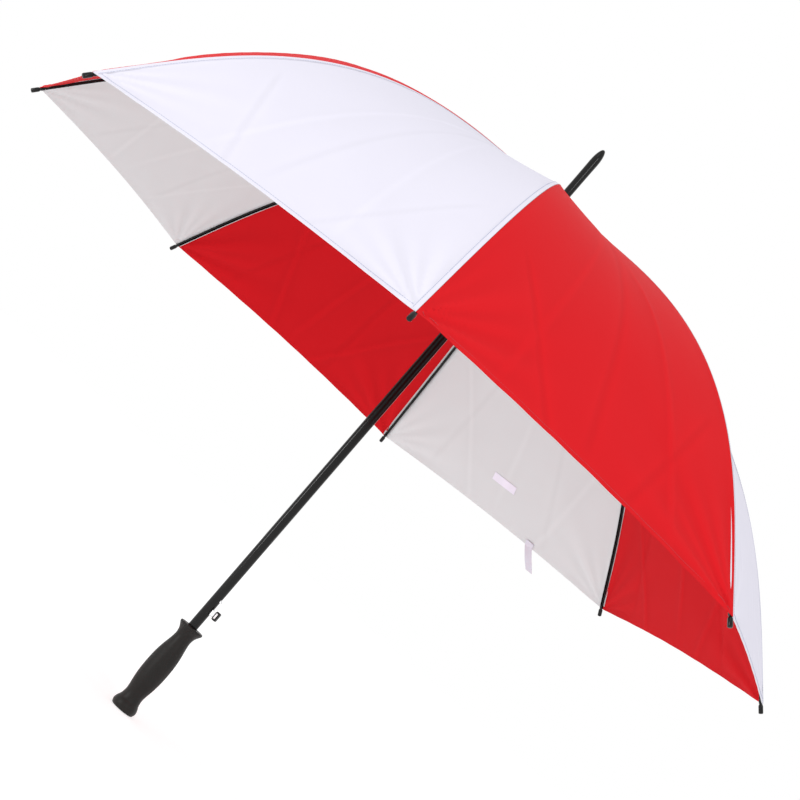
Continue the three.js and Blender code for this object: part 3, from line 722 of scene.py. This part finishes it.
# painted highlight: pale pads on the button's flanks stand for the light its glossy sides catch
PAD_WIDE, PAD_LONG, PAD_THICK = 2.6 * MM, 7.6 * MM, 0.4 * MM
highlight_pad_shape = merged(*[
    block((PAD_WIDE, PAD_THICK, PAD_LONG),
          (BUTTON_OUT - BUTTON_DEEP / 2, side * BUTTON_WIDE / 2, BUTTON_Z), 0.15 * MM) for side in (-1, 1)])
highlight_pad = piece("button_pad", placed(highlight_pad_shape, to_button), pad_highlight_plastic)
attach(highlight_pad, "release_button")

catch_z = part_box("runner_catch")[0][2]
leaf_out = SHAFT_R - SHAFT_WALL - 1.6 * MM
tooth_low = catch_z + 12 * MM
tooth = [[(leaf_out - 0.5 * MM, y, tooth_low), (SHAFT_R + 2 * MM, y, tooth_low),
          (SHAFT_R + 2 * MM, y, tooth_low + 1.5 * MM), (leaf_out - 0.5 * MM, y, tooth_low + 6 * MM)]
         for y in (-1.4 * MM, 1.4 * MM)]
leaf = block((1 * MM, 2.8 * MM, 20 * MM), (leaf_out - 0.5 * MM, 0, catch_z + 10 * MM), 0.2 * MM)
catch = piece("catch_leaf", placed(merged(leaf, skin(tooth)), to_button), steel)
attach(catch, "runner_catch")
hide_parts("runner_catch")

# %% [markdown]
# ## The rule of the ribs
# Every rib follows one curve: it leaves the crown almost level, bends through the middle and
# ends steep. The slope is eased from its first value to its last, and the curve is the sum of
# short straight steps. `rib_point` reads it at any length, with an offset across the rib.

# %% Rib curve
RIB_LENGTH = 728 * MM
SLOPE_START, SLOPE_RISE, BEND_FROM, BEND_TO = 9.1, 40.7, 0.10, 0.95
RIB_DEPTH, RIB_WIDTH, RIB_WALL = 3.4 * MM, 4.2 * MM, 0.7 * MM
lengths = np.linspace(-8 * MM, RIB_LENGTH + 14 * MM, 1501)


def slope_at(s):
    return np.radians(SLOPE_START + SLOPE_RISE * smooth_step(BEND_FROM, BEND_TO,
                                                             np.clip(s, 0, RIB_LENGTH) / RIB_LENGTH))


step = lengths[1] - lengths[0]
slopes = slope_at((lengths[1:] + lengths[:-1]) / 2)
curve_r = np.concatenate([[0], np.cumsum(np.cos(slopes) * step)])
curve_z = np.concatenate([[0], -np.cumsum(np.sin(slopes) * step)])
curve_r += HINGE_R - np.interp(0, lengths, curve_r)
curve_z += HINGE_Z - np.interp(0, lengths, curve_z)


def rib_point(s, up=0.0):
    """Radius and height at length s along the rib, moved up across it."""
    a = slope_at(s)
    return (np.interp(s, lengths, curve_r) + np.sin(a) * up,
            np.interp(s, lengths, curve_z) + np.cos(a) * up)


print("rib ends at radius and height", [round(float(v), 4) for v in rib_point(RIB_LENGTH)])

# %% [markdown]
# ## Ribs
# A rib is a thin steel strip rolled into a channel, open below. The recipe draws that section
# along the curve in one piece. A flat tongue with an eye hangs it on the crown's wire.

# %% Ribs
RIVET = Vector(joint_at["stretcher_1_hinge"])
FLEX_AT = 343 * MM


def channel_section(name, w, d, wall, rounding):
    """A channel of half width w and half depth d, open on one side."""
    inner, floor_at = w - wall, wall - d
    return section_object(name, eased(
        [(-w, d), (-w, -d), (w, -d), (w, d), (inner, d), (inner, floor_at), (-inner, floor_at),
         (-inner, d)], rounding, 2, loop=True))


rib_section = channel_section("rib_section", RIB_WIDTH / 2, RIB_DEPTH / 2, RIB_WALL, 0.35 * MM)
rib_stations = np.linspace(8 * MM, 720.7 * MM, 90)
FLEX_SPAN = 26 * MM


def in_plane(s, up=0.0, side=0.0):
    r, z = rib_point(s, up)
    return float(r), side, float(z)


def rod_with_eye(at, inward, half_thick, eye_r, length):
    """A flat tongue that starts at a pin and runs along a direction, with a round eye."""
    along, across = inward.normalized(), Vector((0, 1, 0))
    upward = along.cross(across)
    arc = np.linspace(0.5 * math.pi, 1.5 * math.pi, 13)
    outline = [along * (eye_r * math.cos(a)) + upward * (eye_r * math.sin(a)) for a in arc]
    outline += [along * length - upward * eye_r * 0.75, along * length + upward * eye_r * 0.75]
    return skin([[tuple(at + p + across * y) for p in outline] for y in (-half_thick, half_thick)])


hinge_point = Vector((HINGE_R, 0, HINGE_Z))
rib_start = Vector(in_plane(14 * MM)) - hinge_point
tongue = rod_with_eye(hinge_point, rib_start, TONGUE / 2, 2.2 * MM, 14 * MM)
blend_from, blend_to = (Vector(in_plane(FLEX_AT + side * FLEX_SPAN)) for side in (-1, 1))
for k in range(1, RIB_COUNT + 1):
    turn = Matrix.Rotation(azimuth(k), 4, "Z")
    rib = sweep.grow(f"rib_{k}", [tuple(turn @ Vector(in_plane(s))) for s in rib_stations],
                     "black_baked_enamel", Section=rib_section, Material=enamel)
    turn @ blend_from
    turn @ blend_to
    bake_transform(rib)
    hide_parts(f"rib_{k}_inner", f"rib_{k}_outer")
    eye = piece(f"rib_eye_{k}", placed(tongue, turn), enamel)
    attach(eye, f"rib_{k}_inner")

# %% [markdown]
# ## Rib tips
# Each rib ends in a small black cap that stands past the corner of the cloth. It is turned
# about the rib's own direction, with a groove where the corner of the cloth is tied on.

# %% Rib tips
CAP_LONG, CAP_PAST = 19 * MM, 12 * MM
cap_from = RIB_LENGTH + CAP_PAST - CAP_LONG
cap_profile = [(0, 0), (2.1 * MM, 0), (2.5 * MM, 1 * MM), (2.5 * MM, 5.2 * MM), (2.1 * MM, 6 * MM),
               (2.1 * MM, 7 * MM), (2.9 * MM, 8.2 * MM), (3.1 * MM, 9.6 * MM), (3.1 * MM, 17.6 * MM),
               (2.8 * MM, 18.6 * MM), (2.1 * MM, 19 * MM), (0, 19 * MM)]
tip_place = Vector(in_plane(cap_from))
tip_way = (Vector(in_plane(RIB_LENGTH + CAP_PAST)) - tip_place).normalized()
to_tip = Matrix.Translation(tip_place) @ tip_way.to_track_quat("Z", "Y").to_matrix().to_4x4()
for k in range(1, RIB_COUNT + 1):
    tip = piece(f"rib_cap_{k}", spun(placed(turned(cap_profile, 32), to_tip), k), plastic)
    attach(tip, f"rib_{k}_outer")
    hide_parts(f"rib_tip_{k}")

# %% [markdown]
# ## Stretchers
# A stretcher is a lighter channel. Its upper end is pinched into two ears that straddle the rib
# round a rivet, and its lower end is a flat blade threaded on the runner's wire.

# %% Stretchers
PIVOT = Vector((HINGE_R, 0, 2 * RIVET.z - HINGE_Z))
reach = PIVOT - RIVET
way = reach.normalized()
EAR_LONG, BRIDGE, BLADE = 24 * MM, 4 * MM, 18 * MM
ear_in = RIB_WIDTH / 2 + GAP
ear_out = ear_in + 0.7 * MM
ear_sides = [(-ear_out, -ear_in), (ear_in, ear_out)]
EAR_R = 1.8 * MM
half_depth = 1.2 * MM
light_section = channel_section("light_section", 1.7 * MM, half_depth, 0.6 * MM, 0.3 * MM)
across = Vector((0, 1, 0))
upward = across.cross(way) if across.cross(way).z > 0 else way.cross(across)


def bar(y_low, y_high, start, end):
    """A flat plate along the stretcher, from one distance off the rivet to another."""
    corners = [(-half_depth, start), (half_depth, start), (half_depth, end), (-half_depth, end)]
    return skin([[tuple(RIVET + upward * u + way * s + across * y) for u, s in corners]
                 for y in (y_low, y_high)])


def disc(y_low, y_high, radius, at, bulge=0.0):
    """A flat disc across the rib, or with a bulge a button with rounded faces."""
    around = np.linspace(0, 2 * math.pi, 20, endpoint=False)
    levels = [(y_low, 1), (y_high, 1)]
    if bulge:
        levels = [(y_low, 0.75), (y_low + bulge, 1), (y_high - bulge, 1), (y_high, 0.75)]
    return skin([[(at.x + radius * f * math.cos(a), y, at.z + radius * f * math.sin(a)) for a in around]
                 for y, f in levels])


ends = merged(
    *[bar(*sides, 0, EAR_LONG) for sides in ear_sides],
    *[disc(*sides, EAR_R, RIVET) for sides in ear_sides],
    bar(-ear_out, ear_out, EAR_LONG - BRIDGE, EAR_LONG),
    disc(-ear_out - 0.6 * MM, ear_out + 0.6 * MM, 1.1 * MM, RIVET, 0.4 * MM),
    rod_with_eye(PIVOT, -way, TONGUE / 2, 1.2 * MM, BLADE + 6 * MM))
for k in range(1, RIB_COUNT + 1):
    turn = Matrix.Rotation(azimuth(k), 4, "Z")
    stations = [RIVET + way * s for s in np.linspace(EAR_LONG - BRIDGE, reach.length - BLADE, 12)]
    strut = sweep.grow(f"strut_{k}", [tuple(turn @ p) for p in stations], "black_baked_enamel",
                       Section=light_section, Material=enamel)
    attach(strut, f"stretcher_{k}")
    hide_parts(f"stretcher_{k}")
    ears = piece(f"strut_ends_{k}", placed(ends, turn), enamel)
    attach(ears, f"stretcher_{k}")

# %% [markdown]
# ## The rule of the cloth
# Each panel is a long triangle sewn between two ribs. Its surface is ruled: straight from rib to
# rib, then dipped a little in the middle, raised near the peak over the crown, and cut with a
# hem that curves in between the tips. `cloth_point` gives the surface for a share across the
# panel and a share along it, for one panel at azimuth 0. Wrinkles are heights added to it.

# %% Cloth surface
CLOTH_LOW, CLOTH_THICK = RIB_DEPTH / 2 + 0.9 * MM, 0.42 * MM
HEM_ARCH, PEAK_LIFT, PEAK_SPREAD = 7 * MM, 17 * MM, 42 * MM
# how far each panel dips between its ribs; one of them is blown up a little instead
CLOTH_SAG = {k: 6.2 * MM for k in range(1, RIB_COUNT + 1)} | {5: -20 * MM}
PEAK_R = (6.2 + 0.8) * MM / math.cos(STEP / 2)
PEAK_EDGE = 18 * MM                 # the small peak cap ends and the panels start here
cloth_from = (PEAK_R - HINGE_R) / math.cos(math.radians(SLOPE_START))
cloth_bend = (FLEX_AT - cloth_from) / (RIB_LENGTH - cloth_from)


def cloth_length(u, v):
    """Length along the rib for a share across and a share along."""
    return cloth_from + (RIB_LENGTH - HEM_ARCH * np.sin(math.pi * u) * v**4 - cloth_from) * v


def cloth_point(k, u, v, up=0.0):
    """Points of panel k, in the sector from azimuth 0 to one step round."""
    s = cloth_length(u, v)
    r, z = rib_point(s, up + CLOTH_LOW)
    z = z + PEAK_LIFT * np.exp(-np.maximum(r - PEAK_R, 0) / PEAK_SPREAD)
    x0, y0 = r, np.full_like(r, 0.15 * MM)
    x1 = r * math.cos(STEP) + 0.15 * MM * math.sin(STEP)
    y1 = r * math.sin(STEP) - 0.15 * MM * math.cos(STEP)
    sag = CLOTH_SAG[k] * np.sin(math.pi * u) * np.sin(math.pi * v)
    return np.stack([x0 + (x1 - x0) * u, y0 + (y1 - y0) * u, z - sag], -1)


def half_width(v):
    r, _ = rib_point(cloth_length(0.5, v))
    return r * math.sin(STEP / 2)


def share_at(r_wanted):
    """The share along the panel where the cloth is that far from the shaft."""
    v = np.linspace(0, 1, 4001)
    r, _ = rib_point(cloth_length(0.5, v), CLOTH_LOW)
    return float(np.interp(r_wanted, r, v))


peak_share = share_at(PEAK_EDGE)
print("panels run from share", round(peak_share, 4), "and flex at", round(cloth_bend, 4))

# %% [markdown]
# ## Creases and wrinkles
# The cloth has been folded into a narrow roll, so each panel keeps sharp straight creases: one
# down its middle and slanting ones where the flap was wrapped. Tension adds fine wrinkles that
# fan out from each tip. A crease is a height that falls off on both sides of a line; a fan is a
# wave of the angle about the corner. Every panel gets its own seeded set.

# %% Wrinkle heights
CREASE_WIDTH = 8 * MM


def crease(x, y, start, end, height, width=CREASE_WIDTH):
    """A straight fold between two points of the flat cut, fading at both ends."""
    a, b = np.array(start), np.array(end)
    long = np.linalg.norm(b - a)
    line = (b - a) / long
    share = ((x - a[0]) * line[0] + (y - a[1]) * line[1]) / long
    off = np.abs((x - a[0]) * line[1] - (y - a[1]) * line[0])
    fade = smooth_step(0, 0.2, share) * (1 - smooth_step(0.86, 1.0, share))
    return height * fade * np.exp(-off / width)


def fan(from_side, from_hem, fade_length, waves, phase, height):
    """Wrinkles that radiate from a corner, from the distances to the two edges that meet in it."""
    far = np.hypot(from_side, from_hem)
    angle = np.arctan2(from_side, np.maximum(from_hem, 0) + 1e-6)
    grow = 1 - np.exp(-far / (10 * MM))
    return height * grow * np.exp(-far / fade_length) * np.sin(waves * angle + phase)


def is_red(k):
    return k % 2 == 1


def cloth_of(k):
    """The slot, the cloth and the thread of a panel."""
    return ("red_cloth", red_cloth, red_thread) if is_red(k) else ("white_cloth", white_cloth, white_thread)


def before(k):
    return RIB_COUNT if k == 1 else k - 1


def wrinkles(k, u, v):
    rng = np.random.default_rng(40 + k)
    half_wide = half_width(v)
    x, y = (u - 0.5) * 2 * half_wide, cloth_length(u, v)
    hem = RIB_LENGTH - y
    h = crease(x, y, (0, 60 * MM), (rng.normal(0, 4 * MM), 730 * MM), -1.6 * MM)
    for side in (-1, 1):
        lean, knee = rng.uniform(0.3, 0.62), rng.uniform(170, 330) * MM
        h += crease(x, y, (side * knee * 0.06, knee), (side * lean * 0.25, 735 * MM),
                    rng.uniform(1.0, 1.9) * MM)
        start = rng.uniform(430, 520) * MM
        h += crease(x, y, (side * 0.155, start), (side * rng.uniform(0.03, 0.09), 735 * MM),
                    -rng.uniform(1.0, 1.8) * MM, 6 * MM)
        corner = half_wide + side * x
        h += fan(corner, hem, 75 * MM, rng.uniform(15, 19), rng.uniform(0, 6), 1.7 * MM)
        h += fan(corner, hem, 170 * MM, rng.uniform(7, 9), rng.uniform(0, 6), 2.0 * MM)
    h += 0.55 * MM * np.sin(x / (9 * MM) + rng.uniform(0, 6)) * np.exp(-hem / (14 * MM))
    h += 0.8 * MM * np.sin(x / (31 * MM) + y / (47 * MM) + rng.uniform(0, 6)) * np.sin(math.pi * v)
    edge = np.clip(np.minimum(half_wide - x, half_wide + x) / (9 * MM), 0, 1)
    h = h * (0.7 if is_red(k) else 0.24)   # the red panels were folded on the outside
    return h * edge * smooth_step(0.05, 0.25, v)


# %% [markdown]
# ## Canopy panels
# A panel is a closed sheet: an upper and a lower skin a thread's thickness apart, joined round
# the edge, thicker where the hem is folded double. It is made in two lengths that meet where
# the ribs flex. Each length turns with its own body. The real cloth gathers towards each panel's
# middle line between the ribs as the umbrella shuts.

# %% Panels
HEM_FOLD, HEM_THICK = 7 * MM, 0.35 * MM     # width and thickness of the cloth folded under
FOLD_DEPTH = 0.10 * MM              # bowl of the surface at which a fold has its full painted shade


def add_cut(mesh, flat_cut):
    """Gives a mesh its UV map in metres, from one place in the flat cut for each point."""
    corner_points = np.empty(len(mesh.loops), int)
    mesh.loops.foreach_get("vertex_index", corner_points)
    layer = mesh.uv_layers.new(name="Cut")
    layer.data.foreach_set("uv", np.array(flat_cut, float)[corner_points].ravel())


def cloth_sheet(name, k, u, v, low, thick, material, heights=None, hem_thick=0.0, strip=False):
    """A closed sheet over a grid of shares u, v, in the sector of panel k. A strip beside a rib has
    its cut measured from that rib, and any other sheet from the middle of its panel."""
    base = cloth_point(k, u, v, low + thick / 2)
    du, dv = np.gradient(base, axis=0), np.gradient(base, axis=1)
    normal = np.cross(dv, du)
    normal /= np.linalg.norm(normal, axis=-1, keepdims=True)
    normal *= np.sign(normal[..., 2:].mean())
    if heights is not None:
        base = base + normal * heights[..., None]
    fold = np.clip((HEM_FOLD - (RIB_LENGTH - HEM_ARCH * np.sin(math.pi * u)
                                - cloth_length(u, v))) / MM, 0, 1) * hem_thick
    upper = base + normal * (thick / 2 + fold * 0.3)[..., None]
    lower = base - normal * (thick / 2 + fold)[..., None]
    rows, cols = u.shape
    points = np.concatenate([upper.reshape(-1, 3), lower.reshape(-1, 3)])
    points = points @ np.array(Matrix.Rotation(azimuth(k), 3, "Z")).T
    n = rows * cols
    at = np.arange(n).reshape(rows, cols)
    quad = np.stack([at[:-1, :-1], at[:-1, 1:], at[1:, 1:], at[1:, :-1]], -1).reshape(-1, 4)
    rim = np.concatenate([at[0, :], at[1:, -1], at[-1, -2::-1], at[-2:0:-1, 0]])
    after = np.roll(rim, -1)
    sides = np.stack([rim, rim + n, after + n, after], -1)
    faces = np.concatenate([quad, quad[:, ::-1] + n, sides]).tolist()
    mesh = bpy.data.meshes.new(name)
    mesh.from_pydata(points.tolist(), [], faces)
    mesh.materials.append(material)
    inside = mesh.attributes.new("inside", "FLOAT", "POINT")
    inside.data.foreach_set("value", np.repeat([0.0, 1.0], n))
    if heights is not None:
        # painted shade: the fold attribute marks the hollows of the wrinkles as seen from each skin, where
        # the colour is darkened
        bowl = sum(np.gradient(np.gradient(heights, axis=i), axis=i) for i in (0, 1))
        depth = np.clip(bowl / FOLD_DEPTH, -1, 1).ravel()
        fold_shade = mesh.attributes.new("fold", "FLOAT", "POINT")
        fold_shade.data.foreach_set("value", np.concatenate([depth, -depth]))
    from_rib = u - np.round(u.mean())
    cut_x = (from_rib if strip else u - 0.5) * 2 * half_width(v)
    flat_cut = np.tile(np.stack([cut_x, cloth_length(u, v)], -1).reshape(-1, 2), (2, 1))
    add_cut(mesh, flat_cut)
    made = bpy.data.objects.new(name, mesh)
    bpy.context.collection.objects.link(made)
    along_u, along_v = base[1:, :-1] - base[:-1, :-1], base[:-1, 1:] - base[:-1, :-1]
    made["flat_area"] = float(np.linalg.norm(np.cross(along_u, along_v), axis=-1).sum())
    return finished(made, 60)


def grid(u0, u1, v0, v1, across_count, along_count):
    """u0 and u1 may change along the panel, so they are functions of v or numbers."""
    v = np.linspace(v0, v1, along_count + 1)
    a = np.array([u0(x) if callable(u0) else u0 for x in v])
    b = np.array([u1(x) if callable(u1) else u1 for x in v])
    part = np.linspace(0, 1, across_count + 1)
    return (a[None, :] + (b - a)[None, :] * part[:, None]), np.tile(v, (across_count + 1, 1))


def gather(made, k):
    """Gives a piece of panel k its own copy of its mesh."""
    middle = azimuth(k) + STEP / 2
    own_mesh(made)


BEND_GAP = 0.00002
panel_parts = {"inner": (peak_share, cloth_bend - BEND_GAP, 56, 64),
               "outer": (cloth_bend + BEND_GAP, 1.0, 112, 92)}
panels = {}
for k in range(1, RIB_COUNT + 1):
    for part, (v0, v1, across_count, along_count) in panel_parts.items():
        u, v = grid(0.0, 1.0, v0, v1, across_count, along_count)
        slot, cloth, _ = cloth_of(k)
        made = cloth_sheet(f"cloth_{k}_{part}", k, u, v, 0, CLOTH_THICK, cloth, wrinkles(k, u, v),
                           HEM_THICK if part == "outer" else 0.0)
        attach(made, f"panel_{k}_{part}")
        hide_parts(f"canopy_panel_{k}_{part}")
        panels[k, part] = made

# %% [markdown]
# ## The peak
# Round the ferrule the eight points of the panels are sewn together and do not move, so a small
# collar of cloth stays with the shaft. Its points alternate in colour like the panels.

# %% Peak
for k in range(1, RIB_COUNT + 1):
    u, v = grid(0.0, 1.0, 0.0005, peak_share + 0.004, 8, 10)
    slot, cloth, _ = cloth_of(k)
    peak = cloth_sheet(f"peak_{k}", k, u, v, -0.5 * MM, CLOTH_THICK, cloth)
    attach(peak, "shaft")

# %% [markdown]
# ## Seams
# Two panels are joined over each rib by a flat seam. Outside, a band of the white cloth lies
# beside the joint; inside, a narrow tape covers it.

# %% Seam bands and tapes
BAND_WIDTH, TAPE_HALF = 7.0 * MM, 5.2 * MM
TAPE_THICK, SEWN_GAP = 0.35 * MM, 0.12 * MM


def share_of(width):
    return lambda x: min(width / (2 * float(half_width(np.array(x)))), 0.3)


sewn_on = {k: [] for k in range(1, RIB_COUNT + 1)}
for k in range(1, RIB_COUNT + 1):
    turn = Matrix.Rotation(azimuth(k), 4, "Z")
    bend = dict(start=turn @ blend_from, end=turn @ blend_to)
    white_after = not is_red(k)
    host = k if white_after else before(k)
    edge, full = share_of(0.1 * MM), share_of(BAND_WIDTH)
    if white_after:
        u, v = grid(edge, full, peak_share, 0.999, 5, 150)
    else:
        u, v = grid(lambda x: 1 - full(x), lambda x: 1 - edge(x), peak_share, 0.999, 5, 150)
    band = cloth_sheet(f"seam_band_{k}", host, u, v, CLOTH_THICK + SEWN_GAP, TAPE_THICK,
                       white_cloth, strip=True)
    for side, panel in (("left", before(k)), ("right", k)):
        wide = share_of(TAPE_HALF)
        if side == "right":
            u, v = grid(0.0, wide, peak_share, 0.997, 4, 150)
        else:
            u, v = grid(lambda x: 1 - wide(x), 1.0, peak_share, 0.997, 4, 150)
        tape = cloth_sheet(f"seam_tape_{k}_{side}", panel, u, v, -SEWN_GAP - TAPE_THICK, TAPE_THICK,
                           white_cloth, strip=True)
        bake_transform(tape)
        sewn_on[panel].append(tape)
    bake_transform(band)
    sewn_on[host].append(band)

# %% [markdown]
# ## Stitches
# Hems and seams are held by one row of lockstitch each. The `stitches` recipe lays a short
# thread at a fixed pitch along a path on the cloth. Hem stitches belong to their panel.

# %% Hem and seam stitches
PITCH, STITCH, THREAD_R = 3.4 * MM, 2.7 * MM, 0.26 * MM


def cloth_path(k, u, v, up, heights=True):
    base = cloth_point(k, u, v, up)
    if heights:
        base[:, 2] += wrinkles(k, u, v)
    return [tuple(Matrix.Rotation(azimuth(k), 4, "Z") @ Vector(p)) for p in base]


sewn = dict(Pitch=PITCH, Length=STITCH, Thickness=THREAD_R)
hem_v = 1 - 5.5 * MM / RIB_LENGTH
for k in range(1, RIB_COUNT + 1):
    slot, _, thread = cloth_of(k)
    u = np.linspace(0.012, 0.988, 160)
    row = stitches.grow(f"hem_stitches_{k}", cloth_path(k, u, np.full_like(u, hem_v),
                        CLOTH_THICK + 0.16 * MM), slot, Seed=k, Material=thread, **sewn)
    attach(row, f"panel_{k}_outer")
    gather(row, k)
    sewn_on[k].append(row)
    turn = Matrix.Rotation(azimuth(k), 4, "Z")
    v = np.linspace(peak_share + 0.03, 0.995, 160)
    inset = np.array([share_of(BAND_WIDTH - 1.2 * MM)(x) for x in v])
    host, u = (before(k), 1 - inset) if is_red(k) else (k, inset)
    row = stitches.grow(f"seam_stitches_{k}", cloth_path(host, u, v, CLOTH_THICK + 0.56 * MM, False),
                        "white_cloth", Seed=k, Material=white_thread, **sewn)
    turn @ blend_from
    turn @ blend_to
    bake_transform(row)
    sewn_on[host].append(row)

# %% [markdown]
# ## Strap and label
# A white tie strap hangs from the hem of one white panel: it is the band that wraps the folded
# umbrella. A small blank care label is sewn flat inside the same panel.

# %% Strap and label
STRAP_PANEL, STRAP_SHARE = 2, 0.325
STRAP_WIDTH, STRAP_LONG, STRAP_INSIDE, STRAP_THICK = 15 * MM, 50 * MM, 10 * MM, 0.9 * MM
STRAP_FALL = Vector((0.65, 0.13, -0.75)).normalized()


def inside_point(across_share, along_share, up):
    one = cloth_point(STRAP_PANEL, np.array([across_share]), np.array([along_share]), up)[0]
    return Matrix.Rotation(azimuth(STRAP_PANEL), 4, "Z") @ Vector(one)


under = -0.9 * MM - STRAP_THICK
hem_point = inside_point(STRAP_SHARE, 1.0, under)
strap_across = (inside_point(STRAP_SHARE + 0.02, 1.0, under) - hem_point).normalized()
strap_in = (inside_point(STRAP_SHARE, 0.985, under) - hem_point).normalized()
rings, cut = [], []
for s in np.linspace(-STRAP_INSIDE, STRAP_LONG - STRAP_INSIDE, 41):
    run = strap_in * -s if s < 0 else STRAP_FALL * s
    tangent = strap_in * -1 if s < -2 * MM else STRAP_FALL
    face = strap_across.cross(tangent).normalized()
    curl = face * (0.9 * MM * math.sin(max(s, 0) / (9 * MM)))
    half_strap = STRAP_WIDTH / 2 * (1 - 0.12 * smooth_step(0.7, 1.0, s / (STRAP_LONG - STRAP_INSIDE)))
    outline = [(side, -0.45) for side in (-1, -0.33, 0.33, 1)]
    outline += [(side, 0.45) for side in (1, 0.33, -0.33, -1)]
    rings.append([hem_point + run + curl + strap_across * (half_strap * side)
                  + face * (STRAP_THICK * height) for side, height in outline])
    cut += [(half_strap * side, s) for side, _ in outline]


strap = piece("tie_band", skin(rings), white_cloth)
add_cut(strap.data, cut)
strap.data.attributes.new("inside", "FLOAT", "POINT")
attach(strap, "panel_2_outer")
gather(strap, STRAP_PANEL)
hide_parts("tie_strap")
strap["flat_area"] = STRAP_WIDTH * STRAP_LONG

# the label's middle and half its size, as shares across and along the panel
LABEL_U, LABEL_V, LABEL_HALF_U, LABEL_HALF_V = 0.506, 0.90, 0.052, 0.0105
label_u = LABEL_U + np.linspace(-1, 1, 9)[:, None] * np.full((1, 7), LABEL_HALF_U)
label_v = LABEL_V + np.linspace(-1, 1, 7)[None, :] * np.full((9, 1), LABEL_HALF_V)
label = cloth_sheet("care_label", STRAP_PANEL, label_u, label_v, -0.75 * MM, 0.25 * MM,
                    label_cloth, wrinkles(STRAP_PANEL, label_u, label_v))
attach(label, "panel_2_outer")
gather(label, STRAP_PANEL)

for (k, part), made in panels.items():
    gather(made, k)
    sewn_on[k] if part == "outer" else []
